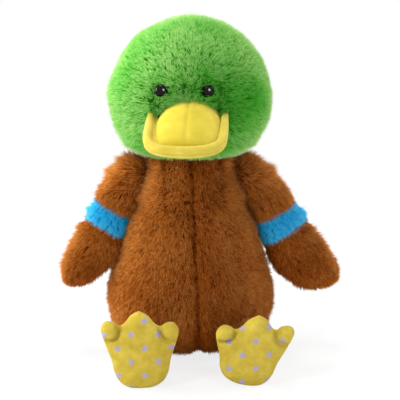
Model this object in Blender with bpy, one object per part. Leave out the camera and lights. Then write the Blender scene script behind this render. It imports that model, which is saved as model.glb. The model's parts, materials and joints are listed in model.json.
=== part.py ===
"""Sitting plush duck: stuffed covers of pile fabric, their fillings, safety eyes and a bean pouch.

Metres, +Z up. The duck faces -Y and sits on the plane Z = 0, with the origin at the middle of its flat seat.
A cover is a shell as thick as its backing and pile, open where its filling passes into the next piece.
"""

import math

import bmesh
import bpy
from mathutils import Matrix, Vector

# Driving dimensions, in metres and degrees
seam_gap = 0.0003
plush_wall = 0.007
wing_wall = 0.006
tail_wall = 0.005
velboa_wall = 0.002
floor_cut = 0.0005
cutter_overrun = 0.004

# Torso: a pear whose top is a ball for the head to sit on
neck_joint_height = 0.168
neck_radius = 0.037
neck_opening_angle = 42.0
torso_width = 0.152
torso_depth = 0.138
neck_plug_radius = 0.019
neck_plug_start_angle = 70.0
neck_stub_radius = 0.012
neck_stub_reach = 0.010
pouch_radius = 0.036
pouch_height = 0.024

# Head: an egg, widest below its middle, hollowed underneath to fit the neck
head_width = 0.146
head_depth = 0.128
head_rim_rise = 0.0095
head_lower_height = 0.0535
head_upper_height = 0.071
head_seat_clearance = 0.0004
head_turned = -7.0

# Eyes, their height counted from the head's widest ring
eye_diameter = 0.011
eye_dome_height = 0.0045
eye_dome_end_angle = 68.0
eye_rim = 0.001
eye_shank_radius = 0.0015
eye_spacing = 0.041
eye_rise = 0.007
eye_sunk = 0.0045
eye_splay = 16.0
washer_radius = 0.006
washer_thickness = 0.0015

# Bill: an upper dome on a lower pad with a rolled lip, its root under the head's widest ring
bill_width = 0.069
bill_length = 0.058
bill_dome_width = 0.053
bill_dome_height = 0.019
bill_slope = 27.0
bill_root_drop = 0.0125
bill_root_inset = 0.010
bill_pad_thickness = 0.0055
bill_lip_radius = 0.0036

# Wings: the shoulder lies under the neck joint and out of the torso's side
wing_length = 0.131
wing_width = 0.047
wing_thickness = 0.034
shoulder_radius = 0.017
shoulder_clearance = 0.0009
shoulder_drop = 0.008
shoulder_out = 0.0114
shoulder_forward = 0.004
wing_band_start = 0.044
wing_band_width = 0.020
wing_hang_left = 32.0
wing_hang_right = 39.0

# Legs and feet: the hip lies out of the torso's front
hip_spacing = 0.090
hip_height = 0.0215
hip_out = 0.0115
hip_clearance = 0.0006
leg_radius = 0.019
ankle_radius = 0.0165
leg_length = 0.0445
leg_lift = 28.0
foot_width = 0.063
foot_height = 0.064
foot_sole_bulge = 0.008
foot_top_bulge = 0.013
foot_lean = 6.0
foot_turned_left = -2.0
foot_turned_right = 13.0

# Tail
tail_length = 0.036
tail_width = 0.040
tail_thickness = 0.022
tail_height = 0.046
tail_inset = 0.010
tail_lift = 28.0

# Facets round each form, and the angle over which an edge is sharp
body_sides = 24
limb_sides = 16
core_sides = 12
sharp_angle = 50.0

# Height over the seat as a share of the neck joint's, then half width as a share of the widest
torso_outline_shares = (
    (0.0, 0.42),
    (0.02, 0.60),
    (0.065, 0.795),
    (0.13, 0.925),
    (0.22, 0.99),
    (0.31, 1.0),
    (0.42, 0.955),
    (0.55, 0.86),
    (0.72, 0.735),
    (0.88, 0.585),
    (0.95, 0.515),
)
# Radius and height of the bean pouch as shares
pouch_shares = ((0.55, 0.0), (0.84, 0.06), (1.0, 0.45), (0.86, 0.82), (0.53, 0.98))
# Angles down from the top of the head, in degrees, to its widest ring
head_upper_angles = (14, 30, 46, 62, 78)
# Height over the head's rim as a share of its lower height, width as a share of the way from rim to widest
head_lower_shares = ((0.0, 0.16), (0.11, 0.48), (0.33, 0.70), (0.58, 0.88), (1.0, 1.0))
# Angles that the wing's root ball is ringed at, outside and inside, in degrees from its end
wing_root_angles = (25, 50, 75)
wing_inner_root_angles = (30, 60)
# The lifts at which a leg is trimmed to clear the torso, as shares of the whole lift
leg_cut_shares = (0.0, 0.25, 0.5, 0.75, 1.0)
# Along the wing, its outer and its inner edge as shares of the width, its thickness as a share
wing_shares = (
    (0.16, 0.36, 0.40, 1.0),
    (0.32, 0.35, 0.50, 1.0),
    (0.48, 0.32, 0.60, 0.98),
    (0.64, 0.29, 0.68, 0.94),
    (0.78, 0.27, 0.68, 0.84),
    (0.89, 0.25, 0.54, 0.68),
    (0.96, 0.19, 0.34, 0.46),
    (0.99, 0.10, 0.18, 0.22),
)
# Half of the foot's outline from heel to middle toe: across and up as shares of the width and the height
foot_outline_shares = (
    (0.0, 0.0),
    (0.15, 0.015),
    (0.27, 0.08),
    (0.345, 0.20),
    (0.38, 0.36),
    (0.44, 0.54),
    (0.49, 0.70),
    (0.495, 0.79),
    (0.44, 0.86),
    (0.35, 0.855),
    (0.26, 0.815),
    (0.19, 0.85),
    (0.11, 0.945),
    (0.0, 1.0),
)
foot_middle_share = 0.46
# How far a pillow's ring lies from its edge to its middle, and its bulge, as shares
pillow_shares = ((0.0, 0.0), (0.06, 0.40), (0.20, 0.74), (0.45, 0.94), (0.75, 1.0))
# Along the leg's bare stretch, then its radius from the ankle's to the root ball's, as shares
leg_shares = ((0.55, 0.85), (0.9, 0.0))
# Along the bill, half width and height of its dome as shares
bill_dome_shares = (
    (0.0, 0.92, 1.0),
    (0.30, 1.0, 0.96),
    (0.55, 0.99, 0.80),
    (0.75, 0.92, 0.60),
    (0.90, 0.74, 0.38),
    (0.97, 0.46, 0.20),
)
# Half of the bill pad's outline from its root to its tip: along the bill, half width, as shares
bill_pad_shares = (
    (-0.30, 0.0),
    (-0.30, 0.24),
    (-0.20, 0.42),
    (0.10, 0.455),
    (0.35, 0.485),
    (0.58, 0.50),
    (0.76, 0.47),
    (0.89, 0.38),
    (0.97, 0.23),
    (1.0, 0.0),
)
bill_middle_share = 0.46
# Under the pad: how far in towards its middle, and how far down, as shares of the way there and the thickness
bill_under_shares = ((0.5, 1.0), (0.14, 0.94), (0.03, 0.55), (0.0, 0.0))
# Over its lip: in from the edge and up, as shares of the lip's radius
bill_lip_shares = ((0.3, 0.85), (1.0, 1.3), (1.7, 0.85))
bill_pad_flat_share = 0.6
# Along the tail, half width and half thickness as shares
tail_shares = (
    (0.0, 1.0, 1.0),
    (0.35, 0.90, 0.96),
    (0.65, 0.68, 0.80),
    (0.86, 0.42, 0.52),
    (0.97, 0.18, 0.24),
)

head_rim_height = neck_joint_height + head_rim_rise
head_widest_height = head_rim_height + head_lower_height
sitting_height = head_widest_height + head_upper_height


def make_material(name, colour, roughness):
    material = bpy.data.materials.new(name)
    material.use_nodes = True
    shader = material.node_tree.nodes["Principled BSDF"]
    shader.inputs["Base Color"].default_value = (*colour, 1.0)
    shader.inputs["Roughness"].default_value = roughness
    shader.inputs["Metallic"].default_value = 0.0
    return material


def add_mesh(name, material, bm):
    bmesh.ops.recalc_face_normals(bm, faces=bm.faces)
    mesh = bpy.data.meshes.new(name)
    bm.to_mesh(mesh)
    bm.free()
    if material:
        mesh.materials.append(material)
    mesh.shade_smooth()
    mesh.set_sharp_from_angle(angle=math.radians(sharp_angle))
    solid = bpy.data.objects.new(name, mesh)
    bpy.context.scene.collection.objects.link(solid)
    return solid


def join_rows(bm, rows):
    for row, beyond in zip(rows, rows[1:]):
        for k, vert in enumerate(row):
            n = (k + 1) % len(row)
            bm.faces.new((vert, row[n], beyond[n], beyond[k]))


def add_loft(name, material, rings, first_pole=None, last_pole=None):
    """A closed solid through rings of equal count, ended by a pole point or by a flat face."""
    bm = bmesh.new()
    rows = [[bm.verts.new(point) for point in ring] for ring in rings]
    join_rows(bm, rows)
    for row, pole in ((rows[0], first_pole), (rows[-1], last_pole)):
        if pole is None:
            bm.faces.new(row)
            continue
        tip = bm.verts.new(pole)
        for k, vert in enumerate(row):
            bm.faces.new((vert, row[(k + 1) % len(row)], tip))
    return add_mesh(name, material, bm)


def add_hoop(name, material, rings):
    """A closed solid through rings of equal count, the last one joined to the first."""
    bm = bmesh.new()
    rows = [[bm.verts.new(point) for point in ring] for ring in rings]
    join_rows(bm, rows + rows[:1])
    return add_mesh(name, material, bm)


def as_cutter(solid):
    solid.hide_render = True
    solid.display_type = "WIRE"
    return solid


def combine(solid, other, operation="DIFFERENCE"):
    modifier = solid.modifiers.new(f"{operation.lower()} {other.name}", "BOOLEAN")
    modifier.operation = operation
    modifier.solver = "EXACT"
    modifier.object = other


def ellipse(across, deep, height, sides):
    """A level ring, counted anticlockwise from above."""
    turns = [2 * math.pi * k / sides for k in range(sides)]
    return [Vector((across * math.cos(turn), deep * math.sin(turn), height)) for turn in turns]


def placed(rings, matrix):
    return [[matrix @ point for point in ring] for ring in rings]


def turned_rings(profile, matrix, sides):
    """Rings about the matrix's own Z from (radius, height) pairs."""
    return placed([ellipse(radius, radius, height, sides) for radius, height in profile], matrix)


def arc(radius, first_angle, last_angle, steps):
    """(radius, height) pairs on a ball about the origin, by angles up from level."""
    angles = [math.radians(first_angle + (last_angle - first_angle) * k / steps) for k in range(steps + 1)]
    return [(radius * math.cos(angle), radius * math.sin(angle)) for angle in angles]


def raised(profile, height):
    return [(radius, level + height) for radius, level in profile]


def moved_in(profile, wall):
    """A profile that runs upwards on the outside of a form, moved inwards by the wall."""
    result = []
    for i, (radius, height) in enumerate(profile):
        below = profile[max(i - 1, 0)]
        above = profile[min(i + 1, len(profile) - 1)]
        run = Vector((above[0] - below[0], above[1] - below[1])).normalized()
        result.append((radius - wall * run.y, height + wall * run.x))
    return result


def add_turned(name, material, profile, matrix, sides=core_sides):
    """A solid turned about its own Z from (radius, height) pairs, which start and end on the axis."""
    poles = [matrix @ Vector((0, 0, profile[end][1])) for end in (0, -1)]
    return add_loft(name, material, turned_rings(profile[1:-1], matrix, sides), *poles)


def roomy(radius, sides, step_angle):
    """The radius of a faceted ball that holds a true ball of this one."""
    return radius / (math.cos(math.pi / sides) * math.cos(math.radians(step_angle / 2)))


def ball_cutter(name, centre, radius):
    steps = limb_sides // 2
    turn = 180 / steps
    radius = roomy(radius, limb_sides, turn)
    profile = [(0, -radius)] + arc(radius, turn - 90, 90 - turn, steps - 2) + [(0, radius)]
    return as_cutter(add_turned(name, None, profile, Matrix.Translation(centre), limb_sides))


def value_at(table, along):
    """The values of a table of shares at this share along it, straight between its rows."""
    for here, beyond in zip(table, table[1:]):
        if along <= beyond[0] or beyond is table[-1]:
            t = (along - here[0]) / (beyond[0] - here[0])
            return [a + (b - a) * t for a, b in zip(here[1:], beyond[1:])]


def axis_empty(name, place):
    empty = bpy.data.objects.new(name, None)
    empty.location = place
    bpy.context.scene.collection.objects.link(empty)
    return empty


def hang_on(empty, solids):
    """Parents solids that are modelled in place to the empty on their joint's axis."""
    for solid in solids:
        solid.parent = empty
        solid.matrix_parent_inverse = Matrix.Translation(empty.location).inverted()


# Torso


def torso_side():
    return [(torso_width / 2 * wide, neck_joint_height * high) for high, wide in torso_outline_shares]


def torso_radius(height):
    """Half of the torso's width at this height."""
    return torso_width / 2 * value_at(torso_outline_shares, height / neck_joint_height)[0]


def torso_front(across, height):
    """How far forward the torso's surface lies there."""
    radius = torso_radius(height)
    return radius * torso_depth / torso_width * math.sqrt(max(1 - (across / radius) ** 2, 0.0))


def torso_rings(profile, sides):
    """Rings that are round at the neck and a little flattened at the belly."""
    rings = []
    for radius, height in profile:
        below = min(max((neck_joint_height - height) / (neck_joint_height / 2), 0.0), 1.0)
        flattened = (1 - torso_depth / torso_width) * below * below * (3 - 2 * below)
        rings.append(ellipse(radius, radius * (1 - flattened), height, sides))
    return rings


def torso_cutter(name, gap=seam_gap):
    """The torso's outside with a gap added, for trimming what is sewn to it."""
    ball = neck_radius + gap
    profile = moved_in(torso_side(), -gap) + raised(arc(ball, 0, 75, 4), neck_joint_height)
    pole = (0, 0, neck_joint_height + ball)
    return as_cutter(add_loft(name, None, torso_rings(profile, body_sides), None, pole))


def make_torso_cover(brown):
    rim = 90 - neck_opening_angle
    outer = torso_side() + raised(arc(neck_radius, 0, rim, 3), neck_joint_height)
    inside = raised(arc(neck_radius - plush_wall, 0, rim, 2), neck_joint_height)
    inner = moved_in(torso_side(), plush_wall) + inside
    rings = torso_rings(outer + inner[::-1], body_sides)
    return add_loft("torso_cover", brown, rings)


def make_bean_pouch(beans):
    seat = plush_wall + seam_gap
    profile = [(pouch_radius * wide, seat + pouch_height * high) for wide, high in pouch_shares]
    top = (0, 0, seat + pouch_height)
    return add_loft("bean_pouch", beans, torso_rings(profile, body_sides), None, top)


def make_torso_filling(white):
    """The stuffing: it sits over the bean pouch, and its hollow top holds the neck's wad."""
    seat = plush_wall + 2 * seam_gap
    pouch = [(pouch_radius * wide, seat + pouch_height * high) for wide, high in pouch_shares[2:]]
    over_pouch = moved_in(pouch, -seam_gap)[::-1]
    side = moved_in(torso_side(), plush_wall + seam_gap)[2:]
    hollow = roomy(neck_plug_radius + seam_gap, body_sides, neck_plug_start_angle / 4)
    lip = [(neck_radius - plush_wall - seam_gap, neck_joint_height)]
    cup = raised(arc(hollow, 0, -neck_plug_start_angle, 4), neck_joint_height)
    rings = torso_rings(over_pouch + side + lip + cup, body_sides)
    bottom = (0, 0, seat + seam_gap + pouch_height)
    return add_loft("torso_filling", white, rings, bottom, (0, 0, neck_joint_height - hollow))


def neck_stub_top():
    return neck_joint_height + neck_radius + plush_wall + neck_stub_reach


def make_neck_filling(white):
    shoulder = math.degrees(math.acos(neck_stub_radius / neck_plug_radius))
    profile = raised(arc(neck_plug_radius, -neck_plug_start_angle, shoulder, 5), neck_joint_height)
    profile.append((neck_stub_radius, neck_stub_top()))
    rings = turned_rings(profile, Matrix(), body_sides)
    return add_loft("neck_filling", white, rings, (0, 0, neck_joint_height - neck_plug_radius))


def tail_rings(wall):
    back = torso_front(0, tail_height) - tail_inset
    lift = Matrix.Rotation(math.radians(tail_lift - 90), 4, "X")
    matrix = Matrix.Translation((0, back, tail_height)) @ lift
    reach = tail_length + tail_inset - wall
    rings = []
    for along, wide, thick in tail_shares:
        half = (tail_width / 2 - wall) * wide
        rings.append(ellipse(half, (tail_thickness / 2 - wall) * thick, along * reach, core_sides))
    return placed(rings, matrix), matrix @ Vector((0, 0, reach))


def make_tail(brown, white, torso):
    outer, outer_tip = tail_rings(0)
    inner, inner_tip = tail_rings(tail_wall)
    core, core_tip = tail_rings(tail_wall + seam_gap)
    cover = add_loft("tail_cover", brown, outer[::-1] + inner, outer_tip, inner_tip)
    filling = add_loft("tail_filling", white, core, None, core_tip)
    for solid in (cover, filling):
        combine(solid, torso)


# Head


def head_pose():
    return Matrix.Rotation(math.radians(head_turned), 4, "Z")


def hollow_radius(wall):
    """The ball that the head turns on, with room for its facets."""
    return roomy(neck_radius + head_seat_clearance, body_sides, 360 / body_sides) + wall


def head_rim_radius(wall=0.0):
    """Where the head's hollow, of this wall's surface, meets the head's underside."""
    return math.sqrt(hollow_radius(wall) ** 2 - (head_rim_rise + wall) ** 2)


def head_side(wall=0.0):
    """The head's outer profile from its bottom rim up to near its top."""
    half = head_width / 2
    rim = head_rim_radius()
    lower = []
    for high, wide in head_lower_shares:
        lower.append((rim + (half - rim) * wide, head_rim_height + head_lower_height * high))
    upper = []
    for angle in reversed(head_upper_angles):
        down = math.radians(angle)
        upper.append((half * math.sin(down), head_widest_height + head_upper_height * math.cos(down)))
    return moved_in(lower + upper, wall)


def head_rings(profile, wall):
    """Rings with the head's depth, going over to round ones at its hollow."""
    hollow = hollow_radius(wall)
    rings = []
    for radius, height in profile:
        outward = (radius - hollow) / (head_width / 2 - wall - hollow)
        outward = 1.0 if height > head_widest_height else min(max(outward, 0.0), 1.0)
        deep = radius * (1 - (1 - head_depth / head_width) * outward)
        rings.append(ellipse(radius, deep, height, body_sides))
    return placed(rings, head_pose())


def head_hollow(wall):
    """The hollow that fits over the neck, from its rim up to the opening at its top."""
    radius = hollow_radius(wall)
    rim = math.degrees(math.acos(head_rim_radius(wall) / radius))
    top = math.degrees(math.acos((neck_stub_radius + seam_gap) / radius))
    return raised(arc(radius, rim, top, 4), neck_joint_height)


def make_head_cover(green):
    outer = head_hollow(0)[::-1] + head_side()
    inner = head_hollow(plush_wall)[::-1] + head_side(plush_wall)[1:]
    rings = head_rings(outer[::-1], 0) + head_rings(inner, plush_wall)
    top = (0, 0, sitting_height)
    return add_loft("head_cover", green, rings, top, (0, 0, sitting_height - plush_wall))


def make_head_filling(white):
    opening = neck_stub_radius + seam_gap
    wall = plush_wall + seam_gap
    rings = head_rings(head_side(wall)[:0:-1] + head_hollow(wall), wall)
    rings += turned_rings([(opening, neck_stub_top() + seam_gap)], head_pose(), body_sides)
    return add_loft("head_filling", white, rings, (0, 0, sitting_height - wall))


def head_cutter(name):
    rings = head_rings(head_side(-seam_gap), 0)
    return as_cutter(add_loft(name, None, rings, None, (0, 0, sitting_height + seam_gap)))


def head_front(across, rise):
    """How far forward the head's surface lies this far over its widest ring, before the head is turned."""
    up = rise / (head_upper_height if rise > 0 else head_lower_height)
    return head_depth / 2 * math.sqrt(1 - up**2 - (2 * across / head_width) ** 2)


def eye_pose(side):
    across = side * eye_spacing / 2
    place = Vector((across, -head_front(across, eye_rise), head_widest_height + eye_rise))
    splay = Matrix.Rotation(math.radians(side * eye_splay), 4, "Z")
    return head_pose() @ Matrix.Translation(place) @ splay @ Matrix.Rotation(math.radians(90), 4, "X")


def make_eye(side, end, black, plastic, cover, filling):
    """A domed eye with its shank through the cover and a washer behind it, about the eye's own axis."""
    pose = eye_pose(side)
    half = eye_diameter / 2
    base = -eye_sunk
    washer_front = -plush_wall - 2 * seam_gap
    washer_back = washer_front - washer_thickness
    shank_end = washer_back - washer_thickness
    hole = eye_shank_radius + seam_gap

    dome = arc(eye_dome_height, 0, eye_dome_end_angle, 3)
    eye = [(0, shank_end), (eye_shank_radius, shank_end), (eye_shank_radius, base), (half, base)]
    eye += raised([(radius * half / eye_dome_height, level) for radius, level in dome], base + eye_rim)
    eye.append((0, base + eye_rim + eye_dome_height))
    solids = [add_turned(f"eye_{end}", black, eye, pose)]

    ring = [(hole, washer_front), (washer_radius, washer_front)]
    ring += [(washer_radius, washer_back), (hole, washer_back)]
    solids.append(add_hoop(f"eye_washer_{end}", plastic, turned_rings(ring, pose, core_sides)))

    wide = half + seam_gap
    through = washer_front - cutter_overrun
    pocket = [(0, through), (hole, through), (hole, base - seam_gap), (wide, base - seam_gap)]
    pocket += [(wide, cutter_overrun), (0, cutter_overrun)]
    combine(cover, as_cutter(add_turned(f"eye_pocket_{end}", None, pocket, pose)))

    wide = washer_radius + seam_gap
    back = washer_back - seam_gap
    behind = [(0, shank_end - seam_gap), (hole, shank_end - seam_gap), (hole, back), (wide, back)]
    for solid, overrun in ((filling, cutter_overrun), (cover, seam_gap)):
        front = washer_front + overrun
        room = behind + [(wide, front), (0, front)]
        combine(solid, as_cutter(add_turned(f"washer_room_{solid.name}_{end}", None, room, pose)))
    return solids


# Bill: its own axes run across (X), back to the head (Y) and out of its upper side (Z)


def bill_pose():
    forward = head_front(0, -bill_root_drop) - bill_root_inset
    root = Matrix.Translation((0, -forward, head_widest_height - bill_root_drop))
    return head_pose() @ root @ Matrix.Rotation(math.radians(bill_slope), 4, "X")


def bill_arches(wall):
    """D-shaped rings along the upper bill, flat side down, and the point that ends them."""
    reach = bill_length - 2 * bill_lip_radius - wall
    floor = seam_gap + wall
    turns = [math.pi * k / (core_sides - 1) for k in range(core_sides)]
    rings = []
    for along, wide, high in bill_dome_shares:
        half = bill_dome_width / 2 * wide - wall
        rise = bill_dome_height * high - 2 * wall
        arch = [(half * math.cos(turn), floor + rise * math.sin(turn)) for turn in turns]
        rings.append([Vector((across, -along * reach, up)) for across, up in arch])
    return placed(rings, bill_pose()), bill_pose() @ Vector((0, -reach, floor + velboa_wall))


def make_upper_bill(yellow, white, head):
    outer, outer_tip = bill_arches(0)
    inner, inner_tip = bill_arches(velboa_wall)
    core, core_tip = bill_arches(velboa_wall + seam_gap)
    cover = add_loft("bill_upper", yellow, outer[::-1] + inner, outer_tip, inner_tip)
    filling = add_loft("bill_filling", white, core, None, core_tip)
    for solid in (cover, filling):
        combine(solid, head)
    return [cover, filling]


def make_lower_bill(yellow, head):
    """A pad whose edge rolls up into a lip: rings inside the pad's outline, from underneath to its top."""
    room, room_tip = bill_arches(-seam_gap)
    upper = as_cutter(add_loft("upper_bill_room", None, room, None, room_tip))
    right = [(bill_width * wide, -bill_length * along) for along, wide in bill_pad_shares]
    outline = right + [(-across, along) for across, along in right[-2:0:-1]]
    middle = Vector((0, -bill_length * bill_middle_share, 0))
    lip_inset = bill_lip_radius / (bill_width / 2)

    steps = [(inward, -bill_pad_thickness * down) for inward, down in bill_under_shares]
    steps += [(lip_inset * inward, bill_lip_radius * up) for inward, up in bill_lip_shares]
    steps += [(2 * lip_inset, -seam_gap), (bill_pad_flat_share, -seam_gap)]
    rings = []
    for inset, level in steps:
        points = [Vector((across, along, 0)) for across, along in outline]
        rings.append([point + (middle - point) * inset + Vector((0, 0, level)) for point in points])
    poles = [bill_pose() @ (middle + Vector((0, 0, level))) for level in (-bill_pad_thickness, -seam_gap)]
    pad = add_loft("bill_lower", yellow, placed(rings, bill_pose()), *poles)
    combine(pad, upper)
    combine(pad, head)
    return pad


# Wings


def shoulder_place(side):
    height = neck_joint_height - shoulder_drop
    return Vector((side * (torso_radius(height) + shoulder_out), -shoulder_forward, height))


def wing_ring(side, hang, along, wall, sides=limb_sides):
    """A ring across the wing this far from its shoulder: on the root ball behind it, a paddle beyond it."""
    tilt = math.radians(hang)
    down = Vector((side * math.sin(tilt), 0, -math.cos(tilt)))
    out = Vector((side * math.cos(tilt), 0, math.sin(tilt)))
    if along < 0:
        middle = 0.0
        half = deep = math.sqrt(max((shoulder_radius - wall) ** 2 - along**2, 0.0))
    else:
        outer, inner, thick = value_at(wing_shares, along / wing_length)
        middle = wing_width * (outer - inner) / 2
        half = wing_width * (outer + inner) / 2 - wall
        deep = (wing_thickness / 2 - wall) * thick
    centre = shoulder_place(side) + down * along + out * middle
    return [centre + out * point.x + Vector((0, point.y, 0)) for point in ellipse(half, deep, 0, sides)]


def wing_point(side, hang, along):
    ring = wing_ring(side, hang, along, 0, 4)
    return sum(ring, Vector()) / len(ring)


def make_wing(side, end, hang, brown, blue, white):
    ball = shoulder_radius
    band_end = wing_band_start + wing_band_width
    sleeve_end = wing_band_start - seam_gap
    tip_start = band_end + seam_gap
    core_wall = wing_wall + seam_gap
    root_end = wing_shares[0][0] * wing_length
    table_stations = [wing_length * row[0] for row in wing_shares]
    tip_stations = [along for along in table_stations if along > tip_start + seam_gap]
    inner_tip_stations = tip_stations[:-2]

    def rings(stations, wall):
        return [wing_ring(side, hang, along, wall) for along in stations]

    def stations(first, last, count):
        return [first + (last - first) * k / count for k in range(count + 1)]

    def root(wall, angles):
        return [-(ball - wall) * math.cos(math.radians(angle)) for angle in angles]

    outer = root(0, wing_root_angles) + stations(root_end, sleeve_end, 2)
    inner = root(wing_wall, wing_inner_root_angles) + stations(root_end, sleeve_end, 1)
    poles = [wing_point(side, hang, wall - ball) for wall in (0, wing_wall)]
    sleeve = add_loft(f"wing_sleeve_{end}", brown, rings(outer, 0) + rings(inner[::-1], wing_wall), *poles)

    outer = stations(wing_band_start, band_end, 2)
    inner = stations(band_end, wing_band_start, 1)
    band = add_hoop(f"wing_band_{end}", blue, rings(outer, 0) + rings(inner, wing_wall))

    outer = tip_stations[::-1] + [tip_start]
    inner = [tip_start] + inner_tip_stations
    poles = [wing_point(side, hang, wing_length - wall) for wall in (0, wing_wall)]
    tip = add_loft(f"wing_tip_{end}", brown, rings(outer, 0) + rings(inner, wing_wall), *poles)

    core = root(core_wall, wing_inner_root_angles) + stations(root_end, band_end, 2) + inner_tip_stations
    poles = [wing_point(side, hang, along) for along in (core_wall - ball, wing_length - core_wall)]
    filling = add_loft(f"wing_filling_{end}", white, rings(core, core_wall), *poles)
    return [sleeve, band, tip, filling]


# Legs and feet


def hip_place(side):
    forward = torso_front(hip_spacing / 2, hip_height) + hip_out
    return Vector((side * hip_spacing / 2, -forward, hip_height))


def foot_outline():
    """The foot's outline seen from the front, from the heel, as vectors about the foot's middle."""
    middle = foot_height * foot_middle_share
    half = [Vector((foot_width * x, 0, foot_height * z - middle)) for x, z in foot_outline_shares]
    return half + [Vector((-point.x, 0, point.z)) for point in half[-2:0:-1]]


def foot_pose(side, turned):
    """The foot's axes: X across, Y back towards the leg, Z up to the toes, about its middle."""
    hip = hip_place(side)
    lean = Matrix.Rotation(math.radians(-foot_lean), 4, "X")
    turn = Matrix.Rotation(math.radians(turned), 4, "Y")
    pose = Matrix.Translation((hip.x, hip.y - leg_length, 0)) @ lean @ turn
    lowest = min((pose @ point).z for point in foot_outline())
    return Matrix.Translation((0, 0, -floor_cut - lowest)) @ pose


def pillow_rings(pose, bulge, wall, start):
    """Rings from the foot's edge to its middle on one side of the seam, starting this far from the seam."""
    toward = math.copysign(1.0, bulge)
    deep = bulge - toward * wall
    rings = []
    for inset, rise in pillow_shares:
        ring = [point * (1 - inset) * (1 - 2 * wall / foot_width) for point in foot_outline()]
        level = Vector((0, toward * start + deep * rise, 0))
        rings.append([pose @ (point + level) for point in ring])
    return rings, pose @ Vector((0, toward * start + deep, 0))


def half_foot(name, material, pose, bulge):
    outer, outer_pole = pillow_rings(pose, bulge, 0, seam_gap)
    inner, inner_pole = pillow_rings(pose, bulge, velboa_wall, seam_gap)
    return add_loft(name, material, outer[::-1] + inner, outer_pole, inner_pole)


def foot_solid(name, material, pose, wall):
    start = max(seam_gap - wall, 0.0)
    front, front_pole = pillow_rings(pose, -foot_sole_bulge, wall, start)
    back, back_pole = pillow_rings(pose, foot_top_bulge, wall, start)
    if start == 0:
        back.pop(0)
    return add_loft(name, material, front[::-1] + back, front_pole, back_pole)


def leg_profile(wall):
    """The leg about its own axis, from its root ball into the foot."""
    bare = leg_length - foot_top_bulge
    profile = arc(leg_radius - wall, -65, 0, 3)
    for along, thick in leg_shares:
        profile.append((ankle_radius + (leg_radius - ankle_radius) * thick - wall, bare * along))
    return profile + [(ankle_radius - wall, leg_core_reach())]


def leg_core_reach():
    return leg_length - foot_sole_bulge / 2


def make_leg(side, end, turned, brown, yellow, stars, white, floor):
    leg_pose = Matrix.Translation(hip_place(side)) @ Matrix.Rotation(math.radians(90), 4, "X")
    pose = foot_pose(side, turned)

    rings = turned_rings(leg_profile(0) + leg_profile(plush_wall)[::-1], leg_pose, limb_sides)
    poles = [leg_pose @ Vector((0, 0, wall - leg_radius)) for wall in (0, plush_wall)]
    cover = add_loft(f"leg_cover_{end}", brown, rings, *poles)
    combine(cover, as_cutter(foot_solid(f"foot_room_{end}", None, pose, -seam_gap)))

    top = half_foot(f"foot_top_{end}", yellow, pose, foot_top_bulge)
    sole = half_foot(f"foot_sole_{end}", stars, pose, -foot_sole_bulge)
    ankle = ankle_radius - plush_wall
    hole = [(0, 0), (ankle, 0), (ankle, leg_core_reach()), (0, leg_core_reach())]
    combine(top, as_cutter(add_turned(f"ankle_hole_{end}", None, hole, leg_pose, limb_sides)))

    core_wall = plush_wall + seam_gap
    core = turned_rings(leg_profile(core_wall), leg_pose, limb_sides)
    filling = add_loft(f"leg_filling_{end}", white, core, leg_pose @ Vector((0, 0, core_wall - leg_radius)))
    stuffing = as_cutter(foot_solid(f"foot_stuffing_{end}", white, pose, velboa_wall + seam_gap))
    combine(filling, stuffing, "UNION")
    for solid in (top, sole):
        combine(solid, floor)
    return [cover, top, sole, filling]


def seat_limb(name, joint, radius, clearance, touching, torso, turns):
    """The limb's root ball sits in a hollow of the torso, and what touches it clears it at each turn."""
    hollow = ball_cutter(f"{name}_hollow", joint, radius + clearance)
    for solid in torso:
        combine(solid, hollow)
    room = ball_cutter(f"{name}_room", joint, radius + seam_gap)
    for i, turn in enumerate(turns):
        outside = torso_cutter(f"torso_round_{name}_{i}", 2 * seam_gap)
        outside.matrix_world = Matrix.Translation(joint) @ turn @ Matrix.Translation(-joint)
        combine(outside, room)
        for solid in touching:
            combine(solid, outside)


def floor_block():
    """Everything under the plane that the duck sits on."""
    bm = bmesh.new()
    bmesh.ops.create_cube(bm, size=2 * sitting_height)
    bmesh.ops.translate(bm, verts=bm.verts, vec=(0, 0, -sitting_height))
    return as_cutter(add_mesh("floor_block", None, bm))


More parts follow.
